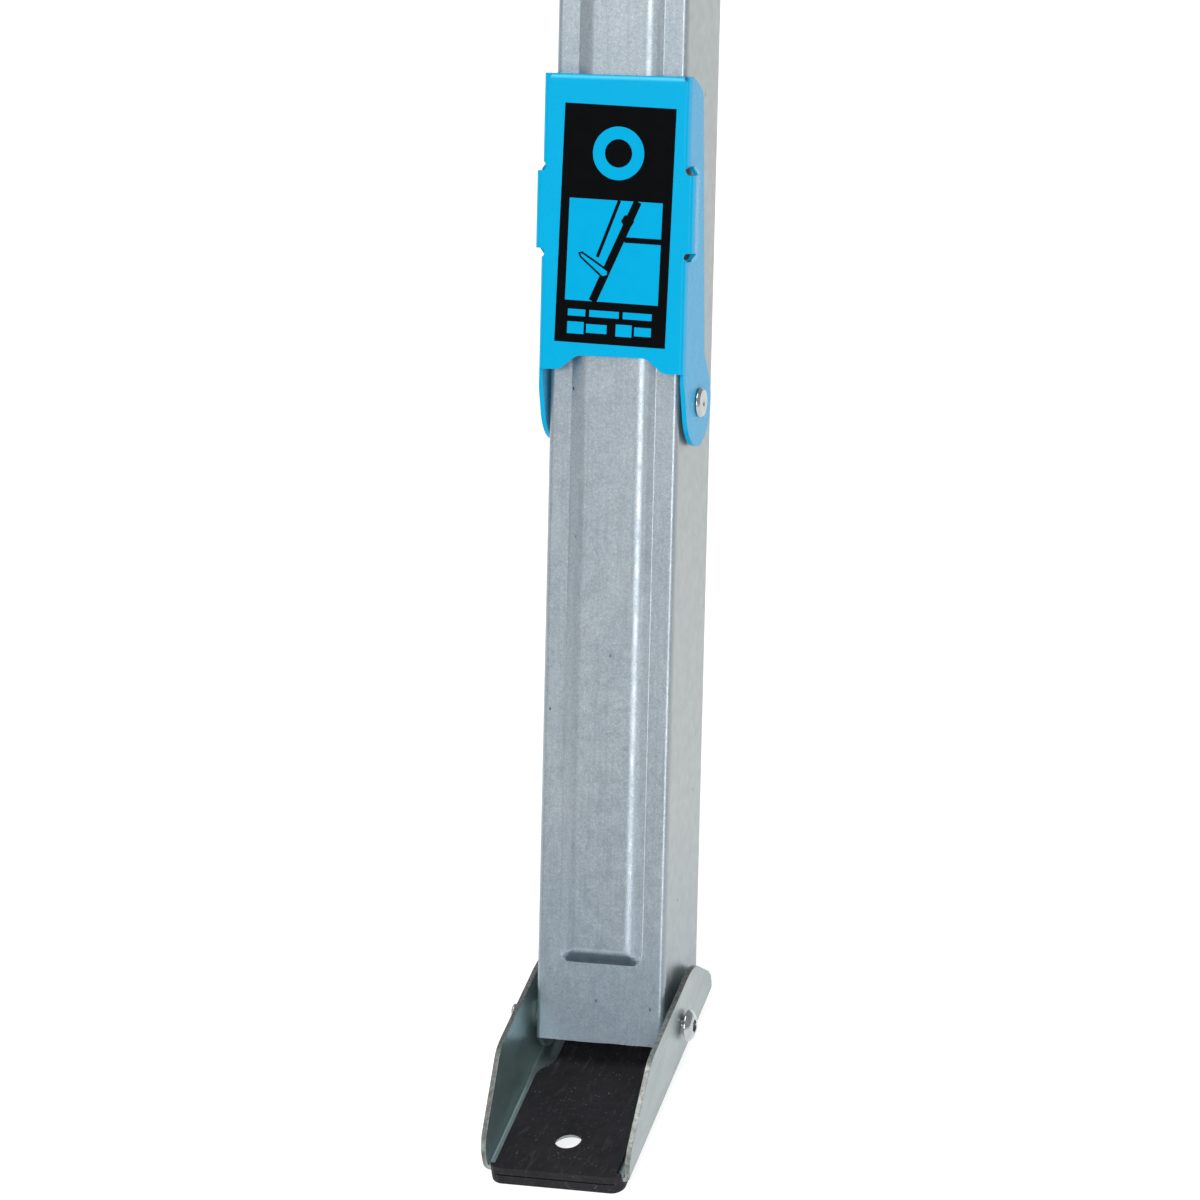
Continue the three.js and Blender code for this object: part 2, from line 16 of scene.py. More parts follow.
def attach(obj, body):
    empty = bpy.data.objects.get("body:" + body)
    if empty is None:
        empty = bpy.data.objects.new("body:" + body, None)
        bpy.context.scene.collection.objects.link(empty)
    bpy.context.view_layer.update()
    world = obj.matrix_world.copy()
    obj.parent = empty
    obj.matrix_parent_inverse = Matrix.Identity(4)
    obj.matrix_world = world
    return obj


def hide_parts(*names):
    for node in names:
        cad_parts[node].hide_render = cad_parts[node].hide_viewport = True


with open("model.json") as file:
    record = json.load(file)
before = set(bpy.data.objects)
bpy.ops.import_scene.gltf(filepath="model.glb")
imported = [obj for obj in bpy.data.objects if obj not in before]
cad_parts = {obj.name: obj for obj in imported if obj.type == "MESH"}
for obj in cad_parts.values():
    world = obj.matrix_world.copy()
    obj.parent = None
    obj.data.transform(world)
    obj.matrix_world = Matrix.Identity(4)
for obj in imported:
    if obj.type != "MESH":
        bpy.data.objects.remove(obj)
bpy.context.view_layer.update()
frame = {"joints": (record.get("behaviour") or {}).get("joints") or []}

MM = 0.001
JOINTS = {joint["name"]: joint for joint in frame["joints"]}
SPLAY = radians(JOINTS["front_fold"]["range_deg"][1])
SIDES = {"front": 1, "rear": -1}
ENDS = {"left": -1, "right": 1}
TAGS = [f"{side}_{end}" for side in SIDES for end in ENDS]


class Sizes:
    """Named sizes of a part, in millimetres and radians."""

    def __init__(self, **sizes):
        for name, size in sizes.items():
            setattr(self, name, size)


# Driving dimensions of the shapes, as in the CAD but with sharper bends on the leg and the bracket.
LEG = Sizes(half=26.0, depth=46.0, sheet=2.0, bend=2.4, lip=10.0, above=12.0)
RIB = Sizes(half=17.0, height=2.8, start=31.0, stop_short=62.0, corner=5.0)
ANKLE = Sizes(inset=13.0, up=7.2, tab=12.5, cut=radians(38))
SHOE = Sizes(half=29.4, lean=2.0, sheet=2.0, bend=3.0, under=3.4, pivot=18.5, top=34.4)
TOE = Sizes(front=79.0, rear=41.0, hole=62.0, radius=5.0)
EAR = Sizes(bulge=2.5, bulge_up=8.0, heel_up=12.4, heel=24.0, heel_drop=5.0, crown=17.5, rear=8.0, front=43.0)
EAR_TOE = Sizes(back=3.5, up=15.6, bend_up=12.5, edge_up=6.0)
PAD = Sizes(half=26.6, front=82.4, rear=36.0, below=3.1, above=7.6, top_half=24.2, neck=18.6, corner=5.0)
FOOT_BOLT = Sizes(radius=3.0, collar=4.3, rim=1.1, socket=2.75, beyond=8.4)
FOOT_NUT = Sizes(hex=5.8, thick=4.4, collar=1.6, bore=3.35)
SADDLE = Sizes(half=29.3, wide=31.6, sheet=1.8, face=5.0, bottom=12.0, top=125.0, lobe=16.8, inset=16.0,
               bend=2.4, roll=2.6, notch=1.7)
STEPS = (56.5, 89.5)  # heights of the bracket's notches
BEAM = Sizes(half=33.0, depth=80.0, sheet=2.0, lip=11.0, bend=4.0, length=1080.0, top=860.0)
STRIP = Sizes(half=27.0, thick=3.7, edge=1.6, ribs=12, groove=0.9)
CAP = Sizes(radius=5.0, thick=6.0, recess=1.2, bars=5, pitch=10.5, plug=12.0, wall=3.0)
RAIL = Sizes(up=648.0, tall=44.0, deep=22.0, sheet=2.0, inset=12.0, lip=8.0, bend=3.5)
HINGE = Sizes(pin=4.0, head=7.0, plate=2.8, lobe=16.0, wing=48.0, bolt=38.0, bolt_up=8.0, low=-26.0,
              high=42.0, radius=6.0, hex=7.5)
SPREAD = Sizes(sheet=2.5, half=9.0, pin=3.0, head=6.0)
HEIGHT = 864.0
GAP = 0.3
LEAN = Matrix.Rotation(-SPLAY, 4, "X")
TURN_ROUND = Matrix.Rotation(pi, 4, "Z")


# ---- where things are
def joint_point(name):
    return Vector(JOINTS[name]["pos_m"])


def half_turn(tag):
    """Half a turn for the rear pair of legs, none for the front pair."""
    return Matrix.Identity(4) if tag.startswith("front") else TURN_ROUND


def leg_frame(tag):
    """Frame of a leg in metres: front face at y = 0 facing -Y, bottom edge at z = 0, +Z up the leg."""
    turn = half_turn(tag) @ LEAN
    ankle = turn @ Vector((0, ANKLE.inset * MM, ANKLE.up * MM))
    return Matrix.Translation(joint_point(f"foot_{tag}_tilt") - ankle) @ turn


def foot_frame(tag):
    return Matrix.Translation(joint_point(f"foot_{tag}_tilt")) @ half_turn(tag)


def saddle_frame(tag):
    return Matrix.Translation(joint_point(f"lumber_support_{tag}_drop")) @ half_turn(tag) @ LEAN


def standing_frame(tag):
    """A leg's frame with its lean taken out, for a mesh that already leans."""
    return Matrix.Translation(leg_frame(tag).translation) @ half_turn(tag)


def rail_frame(side):
    """Frame of a pair of legs: as a leg's, in the middle between the two."""
    place = leg_frame(f"{side}_left")
    place.translation.x = 0
    return place


def hinge_frame(tag):
    axis = joint_point(f"{tag.split('_')[0]}_fold")
    axis.x = joint_point(f"foot_{tag}_tilt").x
    return Matrix.Translation(axis) @ half_turn(tag)


def arm_frame(tag):
    return Matrix.Translation(joint_point(f"spreader_{tag}_swing")) @ half_turn(tag)


def inward(tag):
    """+1 or -1: the way to the middle of the horse, along X of the corner's own half."""
    side, end = tag.split("_")
    return -ENDS[end] * SIDES[side]


HINGE_AT = leg_frame("front_left").inverted() @ joint_point("front_fold") / MM
LEG_TOP = HINGE_AT.z + LEG.above
HINGE_Y = -joint_point("front_fold").y / MM
ARM = -joint_point("spreader_front_left_swing").y / MM
LEG_X = joint_point("foot_front_right_tilt").x / MM


# ---- mesh tools, in millimetres
def arc(cx, cy, radius, start, stop, steps):
    """Points of an arc, both ends included, with its angles in degrees."""
    turns = [radians(start + (stop - start) * i / steps) for i in range(steps + 1)]
    return [(cx + radius * cos(a), cy + radius * sin(a)) for a in turns]


def rounded(half, low, high, radius):
    """Rounded rectangle, even about zero across, as an outline."""
    left, right, down, up = radius - half, half - radius, low + radius, high - radius
    centres = ((right, down), (right, up), (left, up), (left, down))
    return [point for i, (x, y) in enumerate(centres) for point in arc(x, y, radius, 90 * i - 90, 90 * i, 6)]


def corner(across, up, bend, start, stop, steps):
    """Points of a bend about a centre, each with the outward normal that it has there."""
    return [(across + bend * u, up + bend * v, u, v) for u, v in arc(0, 0, 1, start, stop, steps)]


def bezier(a, b, c, steps):
    """Points of a quadratic curve from a to c, pulled towards b."""
    points = []
    for i in range(steps + 1):
        t = i / steps
        points.append(tuple((1 - t) ** 2 * p + 2 * t * (1 - t) * q + t * t * r for p, q, r in zip(a, b, c)))
    return points


def whole(half, across=-1, along=1):
    """A section's half of (across, along, and the outward normal) with its mirror image before it."""
    return [(a * across, b * along, na * across, nb * along) for a, b, na, nb in reversed(half[1:])] + half


def mirrored(line):
    return [(-x, y) for x, y in reversed(line)]


def both_ends(side):
    """Profile of a turned piece whose ends are alike, from the (radius, along) pairs of one end."""
    return [(radius, -along) for radius, along in reversed(side)] + side


def between(line, height):
    """First coordinate of a line of (across, height) points at a height; the heights only rise."""
    for (a, low), (b, high) in zip(line, line[1:]):
        if height <= high:
            share = (height - low) / (high - low) if high > low else 0.0
            return a + (b - a) * max(0.0, share)
    return line[-1][0]


def smooth(t):
    t = min(1.0, max(0.0, t))
    return t * t * (3 - 2 * t)


def new_object(name, data):
    made = bpy.data.objects.new(name, data)
    bpy.context.scene.collection.objects.link(made)
    return made


def from_bmesh(body, name="shape"):
    bmesh.ops.recalc_face_normals(body, faces=body.faces)
    mesh = bpy.data.meshes.new(name)
    body.to_mesh(mesh)
    body.free()
    return new_object(name, mesh)


def prism(outline, low, high, axis):
    """Closed body of an outline in the other two axes, from low to high along an axis."""
    order = {"X": lambda u, v, h: (h, u, v), "Y": lambda u, v, h: (u, h, v),
             "Z": lambda u, v, h: (u, v, h)}[axis]
    body = bmesh.new()
    rings = [[body.verts.new(order(u, v, h)) for u, v in outline] for h in (low, high)]
    body.faces.new(rings[0])
    body.faces.new(rings[1])
    for i in range(len(outline)):
        j = (i + 1) % len(outline)
        body.faces.new((rings[0][i], rings[0][j], rings[1][j], rings[1][i]))
    return from_bmesh(body)


def block(x0, x1, y0, y1, z0, z1):
    return prism([(x0, y0), (x1, y0), (x1, y1), (x0, y1)], z0, z1, "Z")


def turned(profile, sides=40, axis="X"):
    """Closed body turned round an axis from (radius, along) pairs that start and end on the axis."""
    order = {"X": lambda a, r, s: (a, r, s), "Y": lambda a, r, s: (s, a, r),
             "Z": lambda a, r, s: (r, s, a)}[axis]
    body = bmesh.new()
    rings = []
    for radius, along in profile:
        count = 1 if radius == 0 else sides
        turns = [2 * pi * i / sides for i in range(count)]
        rings.append([body.verts.new(order(along, radius * cos(t), radius * sin(t))) for t in turns])
    for a, b in zip(rings, rings[1:]):
        for i in range(sides):
            j = (i + 1) % sides
            corners = [a[i % len(a)], a[j % len(a)], b[j % len(b)], b[i % len(b)]]
            corners = [v for k, v in enumerate(corners) if v not in corners[:k]]
            if len(corners) > 2:
                body.faces.new(corners)
    return from_bmesh(body)


def bar(radius, low, high, axis, across=(0.0, 0.0), sides=40):
    """Round bar along an axis, for pins and for the holes that they go through."""
    made = turned([(0, low), (radius, low), (radius, high), (0, high)], sides, axis)
    shift = {"X": (0, *across), "Y": (across[0], 0, across[1]), "Z": (*across, 0)}[axis]
    made.data.transform(Matrix.Translation(shift))
    return made


def hexagon(radius):
    return arc(0, 0, radius, 0, 300, 5)


def shell(outer, inner):
    """Closed sheet between two grids of points of the same size."""
    body = bmesh.new()
    skins = [[[body.verts.new(p) for p in column] for column in skin] for skin in (outer, inner)]
    wide, tall = len(outer), len(outer[0])
    for skin in skins:
        for i in range(wide - 1):
            for j in range(tall - 1):
                body.faces.new((skin[i][j], skin[i + 1][j], skin[i + 1][j + 1], skin[i][j + 1]))
    rim = [(i, 0) for i in range(wide)] + [(wide - 1, j) for j in range(1, tall)]
    rim += [(i, tall - 1) for i in range(wide - 2, -1, -1)] + [(0, j) for j in range(tall - 2, 0, -1)]
    for (i, j), (k, m) in zip(rim, rim[1:] + rim[:1]):
        body.faces.new((skins[0][i][j], skins[0][k][m], skins[1][k][m], skins[1][i][j]))
    return from_bmesh(body)


def baked(piece):
    """Replaces a piece's mesh by the one that its modifiers make."""
    depsgraph = bpy.context.evaluated_depsgraph_get()
    mesh = bpy.data.meshes.new_from_object(piece.evaluated_get(depsgraph))
    old = piece.data
    piece.modifiers.clear()
    piece.data = mesh
    bpy.data.meshes.remove(old)
    return piece


def boolean(piece, other, operation):
    change = piece.modifiers.new("boolean", "BOOLEAN")
    change.operation = operation
    change.solver = "MANIFOLD"
    change.object = other
    baked(piece)
    bpy.data.objects.remove(other)
    return piece


def cut(piece, *others):
    for other in others:
        boolean(piece, other, "DIFFERENCE")
    return piece


def join(piece, *others):
    for other in others:
        boolean(piece, other, "UNION")
    return piece


def finished(piece, name, edge=0.35, limit=38, segments=2, clean=True):
    """Rounds a shape's sharp edges, shades it smooth, and returns its mesh in metres."""
    if clean:
        body = bmesh.new()
        body.from_mesh(piece.data)
        bmesh.ops.remove_doubles(body, verts=body.verts, dist=1e-4)
        bmesh.ops.dissolve_limit(body, angle_limit=radians(0.6), verts=body.verts, edges=body.edges)
        body.to_mesh(piece.data)
        body.free()
    if edge:
        bevel = piece.modifiers.new("bevel", "BEVEL")
        bevel.width = edge
        bevel.segments = segments
        bevel.limit_method = "ANGLE"
        bevel.angle_limit = radians(limit)
        bevel.use_clamp_overlap = True
        baked(piece)
    piece.data.polygons.foreach_set("use_smooth", [True] * len(piece.data.polygons))
    piece.data.set_sharp_from_angle(angle=radians(limit))
    weighted = piece.modifiers.new("normals", "WEIGHTED_NORMAL")
    weighted.keep_sharp = True
    weighted.weight = 80
    baked(piece)
    mesh = piece.data
    mesh.transform(Matrix.Scale(MM, 4))
    mesh.materials.clear()
    mesh.name = name
    bpy.data.objects.remove(piece)
    return mesh


def put(name, mesh, place, body, material, node=None):
    """Places a mesh as a piece that rides on a body, and stands for a CAD node if one is given."""
    piece = new_object(name, mesh)
    if not mesh.materials:
        for entry in material if isinstance(material, list) else [material]:
            mesh.materials.append(entry)
    piece.matrix_world = place
    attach(piece, body)
    if node:
        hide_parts(node)


# ---- material tools
class Paint:
    """A node material with a Principled shader, and short ways to add nodes to it."""

    def __init__(self, name, lean=0.0, **values):
        self.material = bpy.data.materials.new(name)
        self.material.use_nodes = True
        self.tree = self.material.node_tree
        self.shader = next(n for n in self.tree.nodes if n.type == "BSDF_PRINCIPLED")
        for socket, value in values.items():
            self.shader.inputs[socket.replace("_", " ")].default_value = value
        coordinates = self.add("TexCoord")
        self.normal = coordinates.outputs["Normal"]
        self.local = coordinates.outputs["Object"]
        if lean:
            self.normal = self.rotated(self.normal, lean)
            self.local = self.rotated(self.local, lean)
        chance = self.add("ObjectInfo").outputs["Random"]
        moved = self.add("VectorMath", {0: self.local, 1: self.times(chance, 7.0)}, operation="ADD")
        self.place = moved.outputs[0]
        self.across, _, self.along = self.add("SeparateXYZ", {0: self.local}).outputs

    def add(self, kind, inputs=None, **settings):
        """Adds a node with its settings and with numbers, colours or other nodes' outputs on its inputs."""
        made = self.tree.nodes.new("ShaderNode" + kind)
        for key, value in settings.items():
            setattr(made, key, value)
        for key, value in (inputs or {}).items():
            self.feed(made.inputs[key], value)
        return made

    def feed(self, socket, value):
        if isinstance(value, bpy.types.NodeSocket):
            self.tree.links.new(value, socket)
        else:
            socket.default_value = (*value, 1.0) if socket.type == "RGBA" else value

    def rotated(self, vector, angle):
        """A vector turned about X, from a leaning mesh's frame to the frame along it."""
        inputs = {"Vector": vector, "Angle": angle}
        return self.add("VectorRotate", inputs, rotation_type="X_AXIS").outputs[0]

    def scaled(self, stretch):
        return self.add("Mapping", {"Vector": self.place, "Scale": stretch}).outputs[0]

    def noise(self, scale, detail=3.0, roughness=0.55, stretch=(1, 1, 1), distortion=0.0):
        inputs = {"Vector": self.scaled(stretch), "Scale": scale, "Detail": detail, "Roughness": roughness,
                  "Distortion": distortion}
        return self.add("TexNoise", inputs).outputs["Fac"]

    def cells(self, scale, stretch=(1, 1, 1)):
        inputs = {"Vector": self.scaled(stretch), "Scale": scale}
        return self.add("TexVoronoi", inputs).outputs["Distance"]

    def ramp(self, source, low, high, bottom=0.0, top=1.0):
        inputs = {"Value": source, "From Min": low, "From Max": high, "To Min": bottom, "To Max": top}
        return self.add("MapRange", inputs, clamp=True).outputs["Result"]

    def math(self, operation, a, b):
        return self.add("Math", {0: a, 1: b}, operation=operation).outputs[0]

    def times(self, a, b):
        return self.math("MULTIPLY", a, b)

    def mix(self, share, a, b):
        """Colour between a and b, by a share from 0 to 1."""
        return self.add("Mix", {"Factor": share, 6: a, 7: b}, data_type="RGBA").outputs[2]

    def tint(self, share, colour):
        """Covers the base colour with another one, by a share from 0 to 1."""
        self.base = self.mix(share, self.base, colour)

    def mottled(self, noise, dark, light, low=0.3):
        return self.mix(self.ramp(noise, low, 0.7), dark, light)

    def uneven(self, scale, low, high, detail=3):
        """Roughness that wanders between two values."""
        return self.ramp(self.noise(scale, detail), 0.3, 0.7, low, high)

    def normal_part(self, axis):
        """How far the surface faces along an axis of the piece."""
        return self.add("SeparateXYZ", {0: self.normal}).outputs["XYZ".index(axis)]

    def facing(self, axis, low, high):
        """A ramp over how squarely the surface faces along an axis, to either side."""
        return self.ramp(self.math("ABSOLUTE", self.normal_part(axis), 0), low, high)

    def worn_edge(self, width):
        """1 where the surface turns a corner within a width in metres, 0 on flat ground."""
        rounded_normal = self.add("Bevel", {"Radius": width}, samples=4).outputs[0]
        true_normal = self.add("NewGeometry").outputs["Normal"]
        product = self.add("VectorMath", {0: rounded_normal, 1: true_normal}, operation="DOT_PRODUCT")
        return self.ramp(product.outputs["Value"], 0.97, 0.85)

    def bumps(self, *layers):
        """Bump layers of (height, strength, distance in metres), each on top of the last."""
        below = {}
        for height, strength, distance in layers:
            inputs = {"Height": height, "Strength": strength, "Distance": distance, **below}
            below = {"Normal": self.add("Bump", inputs).outputs[0]}
        self.feed(self.shader.inputs["Normal"], below["Normal"])

    def done(self, roughness):
        self.feed(self.shader.inputs["Base Color"], self.base)
        self.feed(self.shader.inputs["Roughness"], roughness)
        return self.material


def galvanised_sheet(name="galvanised_sheet", lean=0.0):
    """Hot-dip galvanised sheet: mottled satin grey with a fine spangle, dark pits and faint drawing lines."""
    p = Paint(name, lean, Metallic=0.8)
    cloud = p.noise(34, 4, 0.6)
    spangle = p.noise(760, 5, 0.8)
    grain = p.noise(2100, 2, 0.6)
    lines = p.noise(900, 2, 0.5, stretch=(1, 1, 0.03))
    p.base = p.mottled(cloud, (0.375, 0.43, 0.48), (0.45, 0.50, 0.54))
    p.tint(p.ramp(spangle, 0.42, 0.62, 0.0, 0.55), (0.25, 0.305, 0.35))
    p.tint(p.ramp(grain, 0.5, 0.66, 0.0, 0.6), (0.60, 0.65, 0.67))
    p.tint(p.ramp(lines, 0.5, 0.7, 0.0, 0.4), (0.30, 0.36, 0.40))
    curl = p.math("ABSOLUTE", p.math("SUBTRACT", p.noise(38, 1, 0.5, stretch=(1, 1, 0.5), distortion=1.2),
                                     0.5), 0)
    scratch = p.times(p.ramp(curl, 0.006, 0.0), p.ramp(p.noise(30, 2), 0.5, 0.6, 0.0, 0.5))
    p.tint(scratch, (0.26, 0.31, 0.34))
    # Painted shade: faces that turn along X, such as a leg's side walls, get a darker, greener grey.
    side = p.facing("X", 0.55, 0.9)
    p.tint(side, (0.385, 0.415, 0.41))
    chosen = p.ramp(p.noise(45, 1), 0.56, 0.62)
    pits = p.times(p.ramp(p.cells(150, stretch=(1, 1, 0.6)), 0.09, 0.03), chosen)
    p.tint(pits, (0.05, 0.06, 0.07))
    # Painted shadow of the shoe: a leg darkens to a cool grey over its lowest 90 mm.
    if lean:
        p.tint(p.ramp(p.along, 0.09, 0.0, 0.0, 0.4), (0.20, 0.275, 0.36))
    # Painted shade: faces that look down, such as the rib's lower end, are darkened.
    under = p.ramp(p.normal_part("Z"), -0.22, -0.42)
    p.tint(p.times(under, 0.75), (0.12, 0.16, 0.21))
    p.bumps((p.noise(26, 2), 0.25, 0.0006), (spangle, 0.22, 0.0001), (grain, 0.25, 0.00004))
    return p.done(p.uneven(240, 0.34, 0.46))


def zinc_sheet():
    """Electroplated pressed sheet: smooth greenish grey with a soft cloud and faint handling marks."""
    p = Paint("zinc_sheet", Metallic=0.85)
    cloud = p.noise(45, 3)
    grain = p.noise(1500, 3, 0.65)
    p.base = p.mottled(cloud, (0.285, 0.34, 0.338), (0.345, 0.39, 0.382))
    p.tint(p.ramp(grain, 0.45, 0.7, 0.0, 0.35), (0.24, 0.295, 0.298))
    # Painted light: faces that turn in towards the middle, such as the ears' inner faces, get a lighter
    # green-grey.
    inner_face_painted_light = p.times(p.normal_part("X"), p.across)
    p.tint(p.ramp(inner_face_painted_light, -0.005, -0.02), (0.44, 0.59, 0.58))
    faced = p.facing("X", 0.6, 0.35)
    sheared = p.times(faced, p.ramp(p.math("ABSOLUTE", p.across, 0), 0.0272, 0.0285))
    edge = p.times(p.math("MAXIMUM", sheared, p.worn_edge(0.0012)),
                  p.ramp(p.noise(650, 3), 0.42, 0.58, 0.45, 1.0))
    p.tint(p.times(edge, 0.8), (0.15, 0.125, 0.105))
    marks = p.noise(160, 2, 0.5, stretch=(1, 0.3, 1), distortion=1.5)
    rough = p.ramp(marks, 0.4, 0.65, 0.35, 0.42)
    p.bumps((cloud, 0.2, 0.0005), (grain, 0.25, 0.00006))
    return p.done(rough)


def blue_coat():
    """Powder-coated sheet: bright cyan-blue gloss with a faint orange peel and rubbed edges."""
    p = Paint("blue_coat", IOR=1.17)
    p.base = p.mottled(p.noise(30, 3), (0.0, 0.374, 0.652), (0.0, 0.389, 0.672))
    # Painted light: faces that turn along X, the side flanges, get a lighter blue.
    side = p.facing("X", 0.6, 0.9)
    p.tint(side, (0.09, 0.445, 0.735))
    edge = p.times(p.worn_edge(0.0008), p.ramp(p.noise(300, 3), 0.45, 0.7))
    p.tint(p.times(edge, 0.35), (0.0, 0.28, 0.55))
    # Painted highlight: faces that tilt up, such as the rolled top edge, get a light cyan line.
    roll = p.times(p.ramp(p.normal_part("Z"), 0.2, 0.45), p.ramp(p.normal_part("Z"), 0.95, 0.75))
    p.tint(p.times(roll, 0.8), (0.10, 0.66, 0.93))
    p.bumps((p.noise(420, 2, 0.5), 0.05, 0.0001), (p.noise(1500, 2), 0.03, 0.00003))
    return p.done(p.uneven(200, 0.24, 0.34))


def bright_zinc():
    """Bright-plated fasteners: shiny, with turning marks and a little tarnish."""
    p = Paint("bright_zinc", Metallic=1.0)
    cloud = p.noise(220, 3)
    p.base = p.mottled(cloud, (0.42, 0.45, 0.45), (0.52, 0.54, 0.53), 0.35)
    p.tint(p.ramp(p.noise(900, 3), 0.6, 0.8, 0.0, 0.5), (0.34, 0.36, 0.34))
    p.bumps((p.noise(700, 3), 0.2, 0.00005),)
    return p.done(p.uneven(500, 0.16, 0.28))


def black_rubber(name="black_rubber", scuff=1.0):
    """Moulded rubber: near black, finely pebbled, with grey dust specks and light scuffs."""
    p = Paint(name, IOR=1.3)
    p.base = p.mottled(p.noise(60, 3), (0.010, 0.0092, 0.011), (0.017, 0.0155, 0.0185), 0.35)
    specks = p.ramp(p.cells(620), 0.24, 0.1)
    chosen = p.ramp(p.noise(140, 3), 0.46, 0.62, 0.0, 0.7 * scuff)
    p.tint(p.times(specks, chosen), (0.15, 0.15, 0.15))
    lines = p.ramp(p.noise(240, 4, 0.6, stretch=(1, 0.25, 1), distortion=2.0), 0.58, 0.72, 0.0, 0.4 * scuff)
    p.tint(lines, (0.07, 0.07, 0.075))
    edge = p.times(p.worn_edge(0.001), 0.35)
    p.tint(edge, (0.03, 0.03, 0.032))
    p.bumps((p.noise(1300, 3, 0.7), 0.35, 0.00012), (p.noise(120, 3), 0.3, 0.0003))
    return p.done(p.uneven(300, 0.55, 0.8))


def black_plastic():
    """Spark-textured black moulded plastic."""
    p = Paint("black_plastic_grain", Specular_IOR_Level=0.4)
    p.base = p.mottled(p.noise(50, 2), (0.012, 0.012, 0.013), (0.02, 0.02, 0.021))
    p.tint(p.times(p.worn_edge(0.0012), 0.4), (0.05, 0.05, 0.05))
    p.bumps((p.cells(900), 0.3, 0.0001), (p.noise(90, 2), 0.15, 0.0003))
    return p.done(p.uneven(350, 0.42, 0.6))


def nylon():
    """Off-white nylon washers."""
    p = Paint("nylon_grey", Subsurface_Weight=0.1)
    p.base = p.mix(p.noise(150, 2), (0.42, 0.44, 0.43), (0.52, 0.53, 0.52))
    p.bumps((p.noise(900, 2), 0.2, 0.00005),)
    return p.done(p.uneven(500, 0.4, 0.55, 2))


def printed_ink(name, low, high):
    """Screen-printed ink, a little uneven, on the lumber bracket's label."""
    p = Paint(name, IOR=1.12)
    p.base = p.mottled(p.noise(160, 3), low, high)
    p.bumps((p.noise(700, 2), 0.15, 0.00004),)
    return p.done(p.uneven(400, 0.32, 0.42))


GALVANISED = galvanised_sheet()
LEG_STEEL = galvanised_sheet("galvanised_leg", SPLAY)
ZINC = zinc_sheet()
BLUE = blue_coat()
BRIGHT = bright_zinc()
RUBBER = black_rubber()
GRIP = black_rubber("grip_rubber", 0.4)
PLASTIC = black_plastic()
NYLON = nylon()
INK_BLACK = printed_ink("ink_black", (0.0012, 0.0014, 0.002), (0.002, 0.0022, 0.003))
INK_BLUE = printed_ink("ink_blue", (0.0, 0.362, 0.645), (0.0, 0.38, 0.665))


# ---- leg
RIB_RISE = tan(radians(30.3))
RIB_CONCAVE = 0.5
RIB_CONVEX = 4.2
RIB_STRAIGHT = RIB.height / RIB_RISE - RIB_CONVEX / 2 + RIB_CONCAVE / 2
RIB_RUN = RIB_STRAIGHT + RIB_CONVEX


def rib_profile(inside):
    """Height of the pressed rib at a distance in from its outline: tight root, slope, softer shoulder."""
    if inside <= 0:
        return 0.0
    if inside < RIB_CONCAVE:
        return RIB_RISE * inside * inside / (2 * RIB_CONCAVE)
    if inside < RIB_STRAIGHT:
        return RIB_RISE * (inside - RIB_CONCAVE / 2)
    left = max(0.0, RIB_RUN - inside)
    return RIB.height - RIB_RISE * left * left / (2 * RIB_CONVEX)


def rib_height(x, z):
    """Height of the rib at a point of the leg's front, over an outline with rounded corners."""
    low, high, radius = RIB.start, LEG_TOP - RIB.stop_short, RIB.corner
    across = abs(x) - (RIB.half - radius)
    along = abs(z - (low + high) / 2) - ((high - low) / 2 - radius)
    out = hypot(max(across, 0), max(along, 0)) + min(max(across, along), 0) - radius
    return rib_profile(-out)


def ankle_edge(y):
    """Bottom edge of a side wall: a round tab under the bolt, then a slanting cut up to the back."""
    start = ANKLE.inset - sqrt(ANKLE.tab ** 2 - ANKLE.up ** 2)
    stop = ANKLE.inset + ANKLE.tab * sin(ANKLE.cut)
    if y <= start:
        return 0.0
    if y <= stop:
        return ANKLE.up - sqrt(ANKLE.tab ** 2 - (y - ANKLE.inset) ** 2)
    return ANKLE.up - ANKLE.tab * cos(ANKLE.cut) + (y - stop) * tan(ANKLE.cut)


def channel_half(xs, ys):
    """Right half of the leg's section: (x, y, and the outward normal)."""
    half, depth, bend = LEG.half, LEG.depth, LEG.bend
    line = [(x, 0.0, 0.0, -1.0) for x in xs]
    line += corner(half - bend, bend, bend, -90, 0, 7)[1:]
    line += [(half, y, 1.0, 0.0) for y in ys]
    line += corner(half - bend, depth - bend, bend, 0, 90, 6)
    return line + [(x, depth, 0.0, 1.0) for x in (half - 6, half - LEG.lip)]


